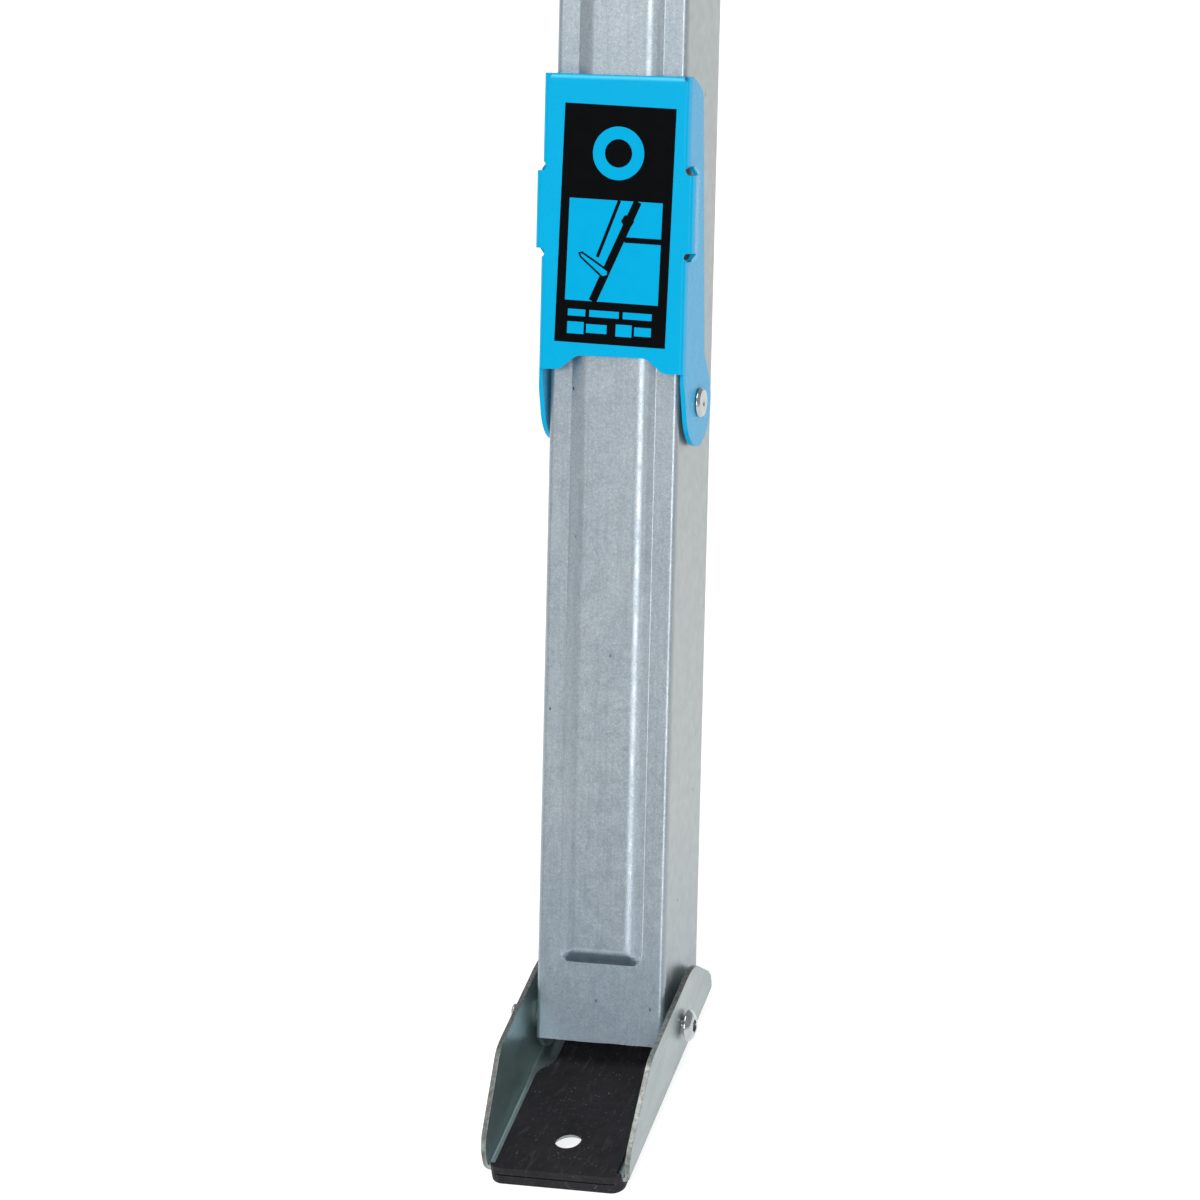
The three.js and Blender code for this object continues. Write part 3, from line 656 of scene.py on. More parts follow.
def leg_mesh():
    edge = [RIB_RUN - RIB_CONVEX * t for t in (0, 0.2, 0.4, 0.6, 0.8, 1)]
    edge += [RIB_STRAIGHT * t for t in (0.82, 0.6, 0.38)] + [RIB_CONCAVE * t for t in (1, 0.66, 0.33, 0)]
    xs = [0, 4, 8] + [RIB.half - e for e in edge] + [RIB.half + 0.5, 20, LEG.half - LEG.bend]
    ys = [4.2, 5.5, 7, 8.5, 10, 11.5, 13, 14.5, 16, 17.5, 19, 20.7, 24, 30, 37]
    right = channel_half(xs, ys)
    low, high = RIB.start, LEG_TOP - RIB.stop_short
    rows = [low - 0.5] + [low + e for e in reversed(edge)]
    rows += [low + 9, low + 30, 120, 200, 300, 420, 540, 660, 750, high - 12]
    rows += [high - e for e in edge] + [high + 0.5, high + 20, LEG_TOP - 12, LEG_TOP]
    start = low - 4
    rough = random.Random(5)
    outer, inner = [], []
    for x, y, nx, ny in whole(right):
        foot = ankle_edge(y) + (rough.uniform(-0.12, 0.12) if y == 0 else 0.0)
        columns = [foot + (start - foot) * t for t in (0, 0.1, 0.3, 0.55, 0.8, 1)] + rows
        rise = [rib_height(x, z) if y == 0 else 0.0 for z in columns]
        outer.append([(x, y - h, z) for z, h in zip(columns, rise)])
        sheet = LEG.sheet
        inner.append([(x - nx * sheet, y - ny * sheet - h, z) for z, h in zip(columns, rise)])
    mesh = finished(shell(outer, inner), "leg", edge=0.4, limit=50, clean=False)
    mesh.transform(LEAN)
    return mesh


# ---- foot
def shoe_outline():
    """Front and rear edges of a shoe's ear as (y, z) lines that rise."""
    low, high = SHOE.under - SHOE.pivot, SHOE.top - SHOE.pivot
    front, rear = -TOE.front, TOE.rear
    edge_up, bend_up, knee = (up - SHOE.pivot for up in (EAR_TOE.edge_up, EAR_TOE.bend_up, EAR_TOE.up))
    toe_line = [(front, low), *bezier((front, edge_up), (front, bend_up), (front + EAR_TOE.back, knee), 8),
                *bezier((-EAR.front - 4, high - 2.3), (-EAR.front, high), (5 - EAR.front, high), 5)]
    heel_line = bezier((rear, low), (rear + EAR.bulge, low + EAR.bulge_up),
                       (rear - EAR.bulge, low + EAR.heel_up), 6)
    heel_line += bezier((EAR.heel, high - EAR.heel_drop), (EAR.crown, high), (EAR.rear, high), 10)
    return toe_line, heel_line


def shoe_mesh():
    low, high = SHOE.under - SHOE.pivot, SHOE.top - SHOE.pivot
    half, bend, sheet, lean = SHOE.half, SHOE.bend, SHOE.sheet, SHOE.lean
    toe_line, heel_line = shoe_outline()
    right = [(x, low, 0.0, -1.0) for x in (0, 8, 16, half - bend)]
    right += corner(half - bend, low + bend, bend, -90, 0, 7)[1:]
    tall = high + 1 - low - bend
    tilt = atan2(lean, tall)
    heights = [0.08, 0.2, 0.35, 0.5, 0.62, 0.72, 0.8, 0.86, 0.9, 0.93, 0.955, 0.975, 0.99, 1]
    for t in heights:
        z = low + bend + (high - low - bend) * t
        right.append((half + lean * (z - low - bend) / tall, z, cos(tilt), -sin(tilt)))
    outer, inner = [], []
    for x, z, nx, nz in whole(right):
        front, rear = between(toe_line, z), between(heel_line, z)
        ys = [front + (rear - front) * t for t in (0, 0.03, 0.1, 0.25, 0.4, 0.55, 0.7, 0.85, 0.95, 1)]
        outer.append([(x, y, z) for y in ys])
        inner.append([(x - nx * sheet, y, z - nz * sheet) for y in ys])
    shoe = shell(outer, inner)
    cut(shoe, bar(TOE.radius + 1.5, low - 1, low + sheet + 1, "Z", (0, -TOE.hole)))
    return finished(shoe, "shoe", edge=0.45, limit=50, clean=False)


def pad_mesh():
    half, front, rear = PAD.half, PAD.front, PAD.rear
    floor = -SHOE.pivot
    bend = PAD.corner
    sole = [(-half, rear), *arc(bend - half, bend - front, bend, 180, 270, 8),
            *arc(half - bend, bend - front, bend, 270, 360, 8), (half, rear)]
    neck, wide = PAD.neck, PAD.top_half
    curve = [(wide, -26), (wide, -24.2), (wide - 0.4, -22.4), (wide - 1.4, -20.6), (neck + 1.6, -17.6),
             (neck + 0.5, -15.8), (neck, -13.5)]
    top_line = [(-wide, -TOE.front - 2), (wide, -TOE.front - 2), *curve, (neck, 20), (-neck, 20)]
    top_line += mirrored(curve)
    plate_top = SHOE.under + SHOE.sheet
    pad = prism(sole, floor, floor + PAD.below, "Z")
    lip = boolean(prism(sole, floor + 1, floor + PAD.above, "Z"),
                  block(-half - 1, half + 1, -front - 1, -TOE.front - GAP, floor, floor + 9), "INTERSECT")
    join(pad, lip, prism(top_line, floor + plate_top + GAP, floor + PAD.above, "Z"))
    groove = [(-half - 1, -front - 1), (half + 1, -front - 1), (half + 1, -front + 0.7),
              (-half - 1, -front + 0.7)]
    cut(pad, prism(groove, floor + 3.9, floor + 4.5, "Z"))
    for i in range(8):
        y = -70 + i * 13.5
        if abs(y + TOE.hole) > 14:
            cut(pad, block(-half + 4, half - 4, y - 1, y + 1, floor - 1, floor + 0.9))
    hole = (0, -TOE.hole)
    cut(pad, bar(TOE.radius + 0.2, floor + 4, floor + 9, "Z", hole, 48))
    cut(pad, bar(TOE.radius + 7, floor - 1, floor + 4, "Z", hole, 48))
    return finished(pad, "pad", edge=0.55, limit=40, segments=3)


EAR_SHARE = (SHOE.pivot + 6.3 - SHOE.under - SHOE.bend) / (SHOE.top + 1 - SHOE.under - SHOE.bend)
EAR_OUT = SHOE.half + SHOE.lean * EAR_SHARE


def threads(radius, start, stop, pitch=1.0):
    """Profile points of a threaded end from start to stop along the axis, as rings."""
    step = pitch if stop > start else -pitch
    count = int(abs(stop - start) / pitch)
    points = []
    for i in range(count):
        points += [(radius, start + step * i), (radius - 0.35, start + step * (i + 0.5))]
    return points + [(radius, start + step * count)]


def foot_bolt_mesh():
    """Button-head bolt with a hex socket, its head on the +X side, on a collar narrower than the head."""
    seat = EAR_OUT + GAP
    far = -(seat + FOOT_BOLT.beyond)
    rim = seat + FOOT_BOLT.rim
    radius, collar = FOOT_BOLT.radius, FOOT_BOLT.collar
    head = [(6.1, rim), (6.3, rim + 0.25), (6.25, rim + 0.7), (5.95, rim + 1.3), (5.4, rim + 1.9),
            (4.7, rim + 2.4), (3.9, rim + 2.75), (3.3, rim + 2.9), (0, rim + 2.95)]
    tip = [(0, far), (2.4, far), (radius, far + 0.6), *threads(radius, far + 1, far + 8)]
    bolt = turned([*tip, (radius, seat - 1), (radius, seat), (collar, seat), (collar, rim), *head], 48)
    cut(bolt, prism(hexagon(FOOT_BOLT.socket), rim + 1, rim + 5, "X"))
    return finished(bolt, "foot_bolt", edge=0.18, limit=50, clean=False)


def hex_body(radius, low, high, axis, collar=0.0):
    """Hexagon with turned chamfers at both ends, as on a nut or a bolt head."""
    flat = radius * cos(radians(30))
    made = prism(hexagon(radius), low, high, axis)
    chamfer = radius - flat * 0.97
    lens = turned([(0, low), (flat * 0.97, low), (radius * 1.01, low + chamfer * 0.6),
                   (radius * 1.01, high - chamfer * 0.6), (flat * 0.97, high), (0, high)], 48, axis)
    boolean(made, lens, "INTERSECT")
    if collar:
        ring = turned([(0, low - collar), (flat * 0.8, low - collar), (flat * 0.9, low - collar * 0.5),
                       (flat * 0.9, low + 0.4), (0, low + 0.4)], 48, axis)
        join(made, ring)
    return made


def foot_nut_mesh():
    seat = EAR_OUT + GAP
    nut = hex_body(FOOT_NUT.hex, -seat - FOOT_NUT.thick, -seat, "X", FOOT_NUT.collar)
    cut(nut, bar(FOOT_NUT.bore, -seat - 7, -seat + 1, "X"))
    return finished(nut, "foot_nut", edge=0.15, limit=35)


def washer_mesh(name, inner, outer, low, high):
    rim = [(outer - 0.2, low), (outer, low + 0.2), (outer, high - 0.2), (outer - 0.2, high)]
    ring = cut(turned([(0, low), *rim, (0, high)]), bar(inner, low - 1, high + 1, "X"))
    return smooth_turned(ring, name)


# ---- lumber bracket
def saddle_mesh():
    """Folded plate with a side flange at each end. Its middle stands out at the front between two notches."""
    half, wide, sheet = SADDLE.half, SADDLE.wide, SADDLE.sheet
    top, bottom, lobe = SADDLE.top, SADDLE.bottom, SADDLE.lobe
    face = -(SADDLE.inset + SADDLE.face)
    bend, roll, notch = SADDLE.bend, SADDLE.roll, SADDLE.notch

    def stand_out(z):
        low, high = (smooth((z - step + notch) / (2 * notch)) for step in STEPS)
        return (wide - half) * (low - high)

    def fade(y):
        return 1 - smooth((y - face - bend) / 14)

    near = (-2.4, -1.8, -1.3, -0.8, -0.4, 0, 0.4, 0.8, 1.3, 1.8, 2.4)
    zs = sorted([-lobe - 1, 0, bottom, 30, 73, 105, top] + [step + d for step in STEPS for d in near])
    line = [(share, 0.0, face, 0.0, -1.0) for share in (0, 0.4, 0.8, 1)]
    line += [(1, *point) for point in corner(0, face + bend, bend, -90, 0, 7)[1:]]
    back = [face + 5, face + 7.5, face + 10, face + 12.5, face + 15, -3, 4, lobe + 2]
    line += [(1, bend, y, 1.0, 0.0) for y in back]
    outer, inner = [], []
    for mirror, half_line in ((-1, list(reversed(line[1:]))), (1, line)):
        for share, out, y, nx, ny in half_line:
            xs = [share * (half - bend) + out + share * fade(y) * stand_out(z) for z in zs]
            outer.append([(mirror * x, y, z) for x, z in zip(xs, zs)])
            inner.append([(mirror * (x - nx * sheet), y - ny * sheet, z) for x, z in zip(xs, zs)])
    saddle = shell(outer, inner)
    flank = [(face - 1, top), (face - 1, bottom), (face, bottom - 1), *arc(0, 0, lobe, 194, 396, 28),
             (6.6, bottom + 6), (-3.2, top - 9),
             *bezier((-3.6, top - 7.4), (-4.6, top - 5), (-9, top - 3.2), 5), (-17, top)]
    boolean(saddle, prism(flank, -wide - 1, wide + 1, "X"), "INTERSECT")
    sill = [(24, bottom - 20), (24, bottom - 1), (21.5, bottom), (19.6, bottom + 0.9), (15.2, bottom + 4.6),
            (13.6, bottom + 5.4), (12, bottom + 5.6)]
    cut(saddle, prism(sill + mirrored(sill), face - 1, face + bend + 1, "Y"))
    cut(saddle, block(sheet - half, half - sheet, face - 1, face + bend + 2, -lobe - 2, bottom))
    cut(saddle, block(-wide, wide, face - 1, face + bend * 0.4, -lobe - 2, bottom))
    for sign in (-1, 1):
        for z in STEPS:
            end = [(sign * (half - u), z + v) for u, v in arc(0, 0, notch, -90, 90, 10)]
            gap = [(sign * 36, z - notch), *end, (sign * 36, z + notch)]
            cut(saddle, prism(gap, face - 1, face + 6, "Y"))
    edge = half - bend - 0.2
    cut(saddle, block(-edge, edge, face - 1, face + 3.5, top - roll, top + 1))
    over = arc(face + roll, top - roll, roll, 180, 90, 7)
    under = arc(face + roll, top - roll, roll - sheet, 90, 180, 7)
    lip = [(face, top - roll - 1), *over, (face + 7, top), (face + 7, top - sheet), *under,
           (face + sheet, top - roll - 1)]
    join(saddle, prism(lip, -edge, edge, "X"))
    cut(saddle, bar(1.0, face - 1, face + 3.4, "Y", (edge + 0.6, top - 0.7), 20))
    return finished(saddle, "lumber_bracket", edge=0.45, limit=40, segments=3)


def smooth_turned(piece, name):
    """Finishes a turned piece, whose profile already has its rounded edges."""
    return finished(piece, name, edge=0, limit=35, clean=False)


def domed_head(pin, head, seat):
    """Profile of a low domed head on a pin."""
    return [(pin, seat), (head - 0.2, seat), (head, seat + 0.3), (head - 0.4, seat + 1.1),
            (head - 1.6, seat + 1.75), (head - 3.4, seat + 2), (0, seat + 2)]


def faced(piece, way):
    """Turns a piece that was drawn for the +X side half round if it is for the -X side."""
    if way < 0:
        piece.data.transform(TURN_ROUND)
    return piece


def rivet_mesh(name, seat, head, rise, pin, dimple):
    """Rivet along X with the same flat head at both ends, seats at plus and minus a distance."""
    side = [(pin, seat), (head - 0.15, seat), (head, seat + 0.2), (head, seat + rise * 0.5),
            (head - 0.5, seat + rise - 0.12), (head - 1.1, seat + rise), (dimple, seat + rise),
            (dimple * 0.6, seat + rise - 0.45), (0, seat + rise - 0.6)]
    return smooth_turned(turned(both_ends(side), 48), name)


def decal_mesh():
    """Label on the bracket's face: a dark panel, a plain ring, a folding picture and two rows of bars."""
    body = bmesh.new()
    face = -(SADDLE.inset + SADDLE.face)
    tilt = radians(-1.5)
    centre = (0.5, 67.8)

    def layer(points, level, ink):
        front = face - 0.03 - 0.035 * level
        ring = []
        for depth in (face - 0.004, front):
            row = []
            for u, v in points:
                x = centre[0] + u * cos(tilt) - v * sin(tilt)
                z = centre[1] + u * sin(tilt) + v * cos(tilt)
                row.append(body.verts.new((x, depth, z)))
            ring.append(row)
        count = len(points)
        made = [body.faces.new(ring[0]), body.faces.new(list(reversed(ring[1])))]
        for i in range(count):
            j = (i + 1) % count
            made.append(body.faces.new((ring[0][j], ring[0][i], ring[1][i], ring[1][j])))
        for entry in made:
            entry.material_index = ink

    def rectangle(u0, u1, v0, v1, level, ink):
        layer([(u0, v0), (u1, v0), (u1, v1), (u0, v1)], level, ink)

    def stroke(a, b, width, level, ink):
        along = Vector((b[0] - a[0], b[1] - a[1])).normalized()
        side = Vector((-along.y, along.x)) * width / 2
        layer([(a[0] - side.x, a[1] - side.y), (b[0] - side.x, b[1] - side.y),
               (b[0] + side.x, b[1] + side.y), (a[0] + side.x, a[1] + side.y)], level, ink)

    black, blue = 0, 1
    rectangle(-22.15, 22.15, -45.6, 45.6, 0, black)
    layer(arc(0, 27.5, 10.2, 0, 357, 47), 1, blue)
    layer(arc(0, 27.5, 5.4, 0, 357, 47), 2, black)
    rectangle(-18.6, 18.5, -29.4, 9.6, 1, blue)
    stroke((-7.6, -29.4), (8.6, 9.6), 3.2, 2, black)
    stroke((-6.5, -12.4), (1.3, 9.6), 1.3, 2, black)
    stroke((4.0, -5.2), (18.5, -5.2), 2.1, 3, black)
    layer([(4.9 + u, 1.9 + v) for u, v in hexagon(2.6)], 3, black)
    layer([(-14.2, -11.2), (-13.4, -12.9), (-4.2, -20.3), (-1.7, -19.6), (-1.4, -17.2), (-12.6, -10.6)], 3,
          black)
    layer([(-13.3, -11.5), (-12.8, -12.5), (-4.0, -19.5), (-2.4, -19.0), (-2.3, -17.6), (-12.4, -11.5)], 4,
          blue)
    rows = {(-35.4, -32.8): ((-17.2, -10.2), (-8.6, 3.2), (4.8, 16.3)),
            (-42.2, -37.6): ((-17.2, -10.6), (2.2, 8.6)), (-41.6, -38.2): ((-9.6, -1.4), (9.6, 16.3))}
    for (low, high), bars in rows.items():
        for left, right in bars:
            rectangle(left, right, low, high, 1, blue)
    label = from_bmesh(body, "label")
    mesh = label.data
    bpy.data.objects.remove(label)
    mesh.transform(Matrix.Scale(MM, 4))
    return mesh


# ---- beam and its trim
def swept(line, thickness, xs):
    """Bent sheet along X. Its section is a list of (y, z, and the outward normal)."""
    outer = [[(x, y, z) for x in xs] for y, z, _, _ in line]
    inner = [[(x, y - ny * thickness, z - nz * thickness) for x in xs] for y, z, ny, nz in line]
    return shell(outer, inner)


def beam_mesh():
    half, depth, bend, top = BEAM.half, BEAM.depth, BEAM.bend, BEAM.top
    line = [(y, top, 0.0, 1.0) for y in (0, 12, 22, half - bend)]
    line += corner(half - bend, top - bend, bend, 90, 0, 7)[1:]
    line += [(half, top - depth / 2 + d, 1.0, 0.0) for d in (14, 0, -14)]
    line += corner(half - bend, top - depth + bend, bend, 0, -90, 7)
    line += [(y, top - depth, 0.0, -1.0) for y in (half - 7, half - BEAM.lip)]
    ends = BEAM.length / 2
    xs = [-ends, -ends + 20, -400, -200, 0, 200, 400, ends - 20, ends]
    return finished(swept(whole(line), BEAM.sheet, xs), "beam", edge=0.4, limit=50, clean=False)


def strip_mesh():
    half, edge, low = STRIP.half, STRIP.edge, HEIGHT - STRIP.thick
    side = HEIGHT - edge
    line = [(-half, low), (half, low), (half, side), *arc(half - edge, side, edge, 0, 90, 4)]
    pitch = 2 * (half - 3) / STRIP.ribs
    groove = HEIGHT - STRIP.groove
    for i in range(STRIP.ribs):
        y = half - 3 - i * pitch
        line += [(y, HEIGHT), (y - pitch * 0.16, groove), (y - pitch * 0.42, groove),
                 (y - pitch * 0.58, HEIGHT)]
    line += [*arc(edge - half, side, edge, 90, 180, 4), (-half, side)]
    clean_line = [p for i, p in enumerate(line) if p != line[i - 1]]
    strip = prism(clean_line, -BEAM.length / 2, BEAM.length / 2, "X")
    return finished(strip, "grip_strip", edge=0.18, limit=40, clean=False)


def cap_mesh(sign):
    half, top = BEAM.half, BEAM.top
    low = top - BEAM.depth
    end = BEAM.length / 2 + GAP
    outline = rounded(half, low, HEIGHT, CAP.radius)
    plate = prism(outline, end, end + CAP.thick, "X")
    inset = [(y * 0.72, (z - (low + HEIGHT) / 2) * 0.76 + (low + HEIGHT) / 2) for y, z in outline]
    cut(plate, prism(inset, end + CAP.thick - CAP.recess, end + 8, "X"))
    for i in range(CAP.bars):
        z = low + 21 + i * CAP.pitch
        join(plate, block(end + 3, end + 5.7, -17, 17, z - 1.2, z + 1.2))
    play = BEAM.sheet + 1
    hole = play + CAP.wall
    plug = block(end - CAP.plug, end + 1, play - half, half - play, low + play, top - play)
    hollow = block(end - CAP.plug - 1, end - 1, hole - half, half - hole, low + hole, top - hole)
    join(plate, cut(plug, hollow))
    return finished(faced(plate, sign), "end_cap", edge=0.9, limit=40, segments=3)


# ---- hinges
HINGE_BACK = HINGE_Y - BEAM.half - GAP
HINGE_IN = LEG.half + 0.8


def hinge_bracket_mesh():
    """Frame of its own: hinge axis along X at the origin, beam on the +Y side."""
    plate, wing, low, high = HINGE.plate, HINGE.wing, HINGE.low, HINGE.high
    front = HINGE_BACK - plate
    bracket = prism(rounded(wing, low, high, HINGE.radius), front, HINGE_BACK, "Y")
    ear = [(HINGE_BACK - 1, low), *arc(0, 0, HINGE.lobe, -90, -270, 24), (HINGE_BACK - 1, high)]
    for x0, x1 in ((-HINGE_IN - plate, -HINGE_IN), (HINGE_IN, HINGE_IN + plate)):
        join(bracket, prism(ear, x0, x1, "X"))
    cut(bracket, bar(HINGE.pin + 0.35, -HINGE_IN - 9, HINGE_IN + 9, "X"))
    for x in (-HINGE.bolt, HINGE.bolt):
        cut(bracket, bar(HINGE.pin + 0.35, front - 1, HINGE_BACK + 1, "Y", (x, HINGE.bolt_up)))
    return finished(bracket, "hinge_bracket", edge=0.6, limit=40, segments=3)


def hinge_pin_mesh():
    seat = HINGE_IN + HINGE.plate + GAP
    pin, head = HINGE.pin, HINGE.head
    side = [(pin, seat), (head - 0.2, seat), (head, seat + 0.2), (head - 0.15, seat + 0.9),
            (head - 0.9, seat + 1.9), (head - 2.4, seat + 2.6), (head - 4.4, seat + 2.95), (0, seat + 3)]
    return smooth_turned(turned(both_ends(side), 48), "hinge_pin")


def beam_bolt_mesh():
    """Hex bolt with washers and a nut, through both hinge brackets and the beam."""
    seat = BEAM.half + GAP + HINGE.plate + GAP
    bolt = hex_body(HINGE.hex, -seat - 5, -seat - 1, "Y")
    rim = [(0, -seat - 1.2), (7.2, -seat - 1.2), (7.4, -seat - 1), (7.4, -seat), (0, -seat)]
    washer = turned(rim, 40, "Y")
    shank = bar(HINGE.pin, -seat - 1, seat + 1, "Y")
    nut = hex_body(HINGE.hex, seat + 1, seat + 5, "Y")
    tip = [(0, seat), (7.4, seat), (7.4, seat + 1.1), (4, seat + 1.2), (4, seat + 5.6), (3.6, seat + 6),
           (0, seat + 6)]
    join(bolt, washer, shank, nut, turned(tip, 40, "Y"))
    return finished(bolt, "beam_bolt", edge=0.15, limit=35)


# ---- rail and spreaders
def rail_mesh():
    """Lipped channel between two legs, open to the back, with a closing plate welded in each end."""
    reach = LEG_X - LEG.half - GAP
    up, tall, deep, sheet, y0 = RAIL.up, RAIL.tall, RAIL.deep, RAIL.sheet, RAIL.inset
    bend, high = RAIL.bend, tall / 2
    line = [(y0, z, -1.0, 0.0) for z in (0, high - bend - 6, high - bend)]
    line += corner(y0 + bend, high - bend, bend, 180, 90, 6)[1:]
    line += [(y0 + deep / 2, high, 0.0, 1.0)]
    line += corner(y0 + deep - bend, high - bend, bend, 90, 0, 6)
    line += [(y0 + deep, high - RAIL.lip, 1.0, 0.0)]
    section = [(y, up + high + z, ny, nz) for y, z, ny, nz in whole(line, 1, -1)]
    rail = swept(section, sheet, [-reach, -reach + 30, -200, 0, 200, reach - 30, reach])
    for x0, x1 in ((-reach, sheet - reach), (reach - sheet, reach)):
        join(rail, block(x0, x1, y0 + 0.5, y0 + deep - 0.5, up + 0.5, up + tall - 0.5))
    return finished(rail, "cross_rail", edge=0.4, limit=50, clean=False)


def arm_mesh(x0):
    """Flat spreader arm from the leg's pin at the origin to the middle of the horse."""
    half, sheet, pin = SPREAD.half, SPREAD.sheet, SPREAD.pin
    outline = [*arc(0, 0, half, 270, 90, 20), *arc(ARM, 0, half, 90, -90, 20)]
    arm = prism(outline, x0, x0 + sheet, "X")
    slot = [*arc(28, 0, 2.2, 270, 90, 10), *arc(ARM - 28, 0, 2.2, 90, -90, 10)]
    for low, high in ((x0 - 1, x0 + 0.6), (x0 + sheet - 0.6, x0 + sheet + 1)):
        cut(arm, prism(slot, low, high, "X"))
    for y in (0.0, ARM):
        cut(arm, bar(pin + 0.35, x0 - 1, x0 + sheet + 1, "X", (y, 0.0)))
    return finished(arm, "spreader_arm", edge=0.4, limit=40)


ARM_PLANE = {"front": LEG.half + 0.6, "rear": LEG.half + 0.6 + SPREAD.sheet + 0.5}


def arm_pin_mesh(side, sign):
    out = ARM_PLANE[side] + SPREAD.sheet + GAP
    back = LEG.half - LEG.sheet - GAP
    pin, head = SPREAD.pin, SPREAD.head
    tail = [(0, back - 2.7), (head - 2.3, back - 2.7), (head - 1.5, back - 2), (head - 1.5, back)]
    profile = [*tail, (pin, back), *domed_head(pin, head, out)]
    return smooth_turned(faced(turned(profile), sign), "spreader_pin")


def middle_rivet_mesh(plane, outward):
    """Half of the rivet at the spreader's middle: one head and a shank as long as its own arm is thick."""
    pin, head, sheet = SPREAD.pin, SPREAD.head, SPREAD.sheet
    made = faced(turned([(0, -sheet), (pin, -sheet), *domed_head(pin, head, GAP)]), outward)
    made.data.transform(Matrix.Translation((plane + sheet if outward > 0 else plane, 0, 0)))
    return smooth_turned(made, "spreader_rivet")


# ---- assembly
def build():
    world, beam = Matrix.Identity(4), "beam_assembly"
    put("beam_channel", beam_mesh(), world, beam, GALVANISED, "beam")
    put("beam_grip", strip_mesh(), world, beam, GRIP, "grip_strip")
    beam_bolt = beam_bolt_mesh()
    bolt_z = joint_point("front_fold").z + HINGE.bolt_up * MM
    for end, sign in ENDS.items():
        put(f"beam_cap_{end}", cap_mesh(sign), world, beam, PLASTIC, f"end_cap_{end}")
        for place, way in (("inner", -1), ("outer", 1)):
            at = Matrix.Translation((sign * (LEG_X + way * HINGE.bolt) * MM, 0, bolt_z))
            put(f"hex_bolt_{end}_{place}", beam_bolt, at, beam, BRIGHT, f"beam_bolt_{end}_{place}")

    leg, shoe, pad, saddle, decal = leg_mesh(), shoe_mesh(), pad_mesh(), saddle_mesh(), decal_mesh()
    foot_bolt, foot_nut = foot_bolt_mesh(), foot_nut_mesh()
    support_pin = rivet_mesh("lumber_rivet", SADDLE.half + GAP, head=5.6, rise=1.8, pin=3.0, dimple=1.6)
    foot_spacer = washer_mesh("foot_spacer", 3.2, 5.2, LEG.half + 0.15, SHOE.half - SHOE.sheet + 0.75)
    support_spacer = washer_mesh("lumber_spacer", 3.2, 5.6, LEG.half + 0.12,
                                 SADDLE.half - SADDLE.sheet - 0.12)
    bracket, hinge_pin, rail = hinge_bracket_mesh(), hinge_pin_mesh(), rail_mesh()
    for side in SIDES:
        put(f"rail_{side}", rail, rail_frame(side), f"{side}_legs", GALVANISED, f"cross_rail_{side}")
    for tag in TAGS:
        side = tag.split("_")[0]
        legs, foot, support, arms = f"{side}_legs", f"foot_{tag}", f"lumber_support_{tag}", f"spreader_{tag}"
        way = inward(tag)
        plane = ARM_PLANE[side] if way > 0 else -ARM_PLANE[side] - SPREAD.sheet
        outward = way if side == "rear" else -way
        foot_at, support_at = foot_frame(tag), saddle_frame(tag)
        hinge_at, arm_at = hinge_frame(tag), arm_frame(tag)
        middle = arm_at @ Matrix.Translation((0, ARM * MM, 0))
        for name, mesh, place, body, paint, node, slot in (
                ("leg_channel", leg, standing_frame(tag), legs, LEG_STEEL, "leg", "galvanised_steel"),
                ("shoe", shoe, foot_at, foot, ZINC, "foot_shoe", "zinc_plate"),
                ("sole", pad, foot_at, foot, RUBBER, "foot_pad", "rubber"),
                ("button_bolt", foot_bolt, foot_at, foot, BRIGHT, "foot_bolt", "zinc_fastener"),
                ("lock_nut", foot_nut, foot_at, foot, BRIGHT, "foot_nut", "zinc_fastener"),
                ("support", saddle, support_at, support, BLUE, "lumber_bracket", "blue_paint"),
                ("label", decal, support_at, support, [INK_BLACK, INK_BLUE], None, "blue_paint"),
                ("support_rivet", support_pin, support_at, legs, BRIGHT, "lumber_bracket_pin",
                 "zinc_fastener"),
                ("hinge_plate", bracket, hinge_at, beam, BLUE, "hinge_bracket", "blue_paint"),
                ("hinge_rivet", hinge_pin, hinge_at, beam, BRIGHT, "hinge_pin", "zinc_fastener"),
                ("arm", arm_mesh(plane), arm_at, arms, ZINC, "spreader_arm", "zinc_plate"),
                ("arm_pin", arm_pin_mesh(side, way), arm_at, legs, BRIGHT, "spreader_pin", "zinc_fastener"),
                ("arm_rivet", middle_rivet_mesh(plane, outward), middle, arms, BRIGHT, "spreader_rivet",
                 "zinc_fastener")):
            put(f"{name}_{tag}", mesh, place, body, paint, node and f"{node}_{tag}")
        for name, turn in (("inner", TURN_ROUND), ("outer", Matrix.Identity(4))):
            put(f"foot_spacer_{tag}_{name}", foot_spacer, foot_at @ turn, foot, NYLON, None)
            put(f"support_spacer_{tag}_{name}", support_spacer, support_at @ turn, legs, NYLON, None)


build()


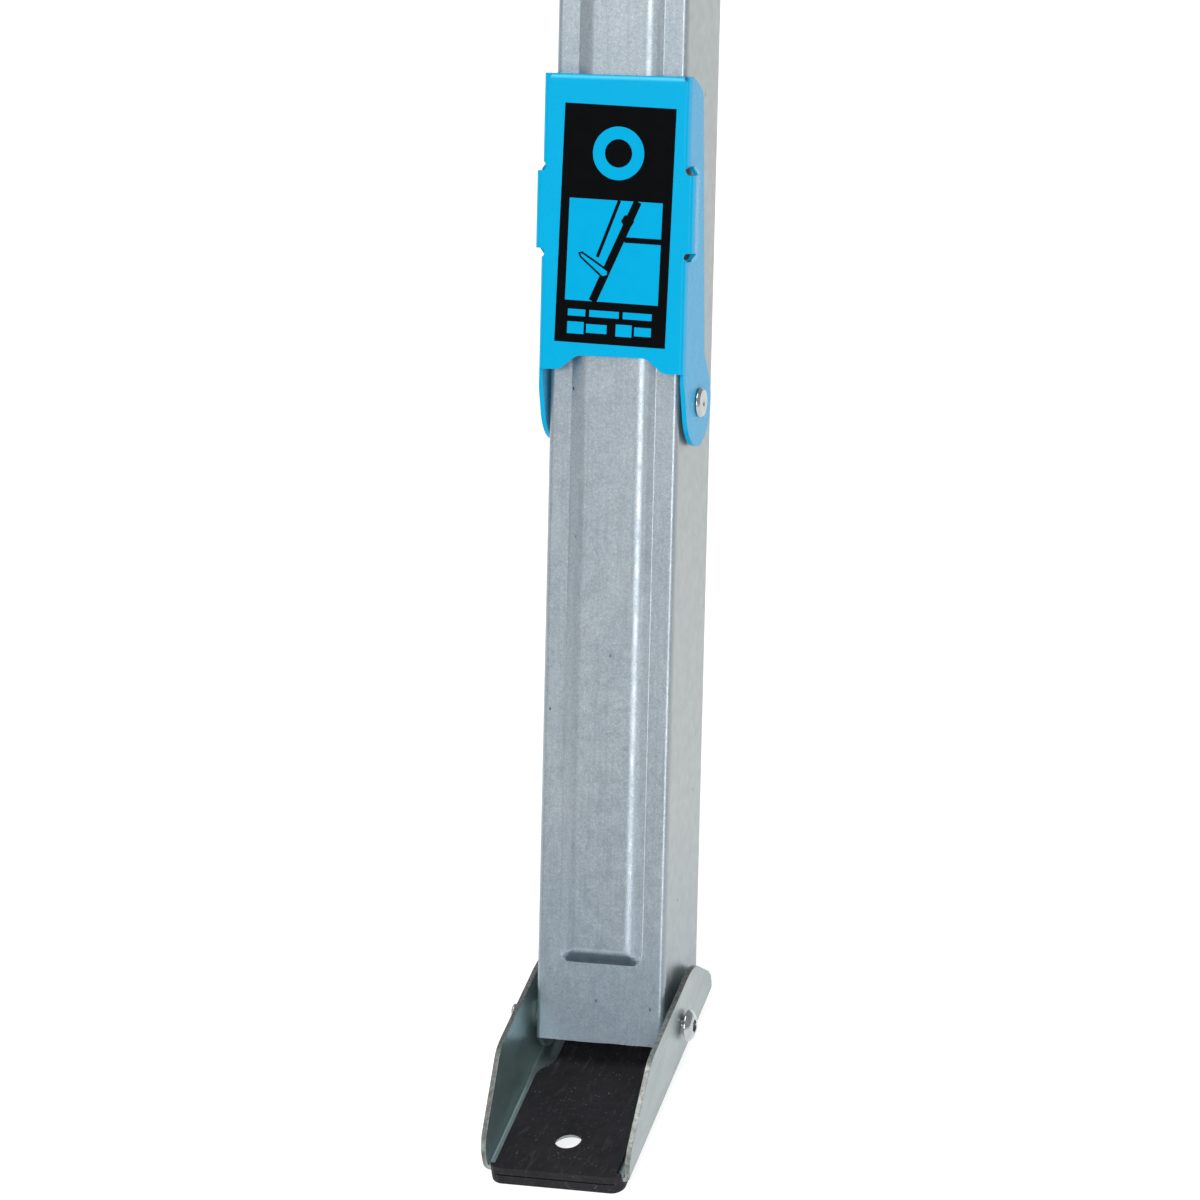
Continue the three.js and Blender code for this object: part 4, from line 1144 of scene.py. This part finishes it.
# ---- floor, light and camera
def floor_material():
    """Pale matt floor, lit a little from within as a light table is, so that shadows stay faint."""
    p = Paint("floor_pale", Specular_IOR_Level=0.1, Emission_Strength=0.78)
    p.shader.inputs["Emission Color"].default_value = (1.0, 1.0, 1.0, 1.0)
    p.base = p.mix(p.noise(3, 2), (0.50, 0.50, 0.50), (0.54, 0.54, 0.54))
    return p.done(p.uneven(8, 0.75, 0.9, 2))


def make_floor():
    body = bmesh.new()
    bmesh.ops.create_grid(body, x_segments=4, y_segments=4, size=30)
    floor = from_bmesh(body, "floor")
    floor.location.z = -0.0002
    floor.data.materials.append(floor_material())


def softbox(name, place, target, size, radiance, color=(1, 1, 1)):
    """Rectangular area light of a given brightness; pure white paper reads 1."""
    light = bpy.data.lights.new(name, "AREA")
    light.shape = "RECTANGLE"
    light.size, light.size_y = size
    light.energy = radiance * pi * size[0] * size[1]
    light.color = color
    holder = new_object(name, light)
    holder.location = place
    holder.rotation_euler = (Vector(target) - Vector(place)).to_track_quat("-Z", "Y").to_euler()


def make_light():
    world = bpy.data.worlds.new("studio")
    world.use_nodes = True
    background = world.node_tree.nodes["Background"]
    background.inputs["Color"].default_value = (0.95, 0.975, 1.0, 1.0)
    background.inputs["Strength"].default_value = 0.42
    bpy.context.scene.world = world
    aim = (-0.43, -0.4265, 0.25)
    softbox("key", (0.45, -2.9265, 1.35), aim, (0.22, 1.2), 24)
    softbox("front", (-1.4, -2.5265, 2.0), aim, (1.6, 0.9), 2.2)
    softbox("top", (-0.4, -0.6265, 3.2), aim, (1.6, 1.6), 5.4, (0.97, 0.985, 1.0))


def make_camera():
    lens = bpy.data.cameras.new("camera")
    lens.sensor_width = 36.0
    lens.lens = 167.28717
    lens.clip_start = 0.05
    lens.clip_end = 100.0
    camera = new_object("camera", lens)
    camera.location = (0.19032, -2.11371, 1.32805)
    camera.rotation_euler = [radians(angle) for angle in (57.211, 6.520, 15.975)]
    bpy.context.scene.camera = camera


make_floor()
make_light()
make_camera()
bpy.context.scene.view_settings.view_transform = "Standard"
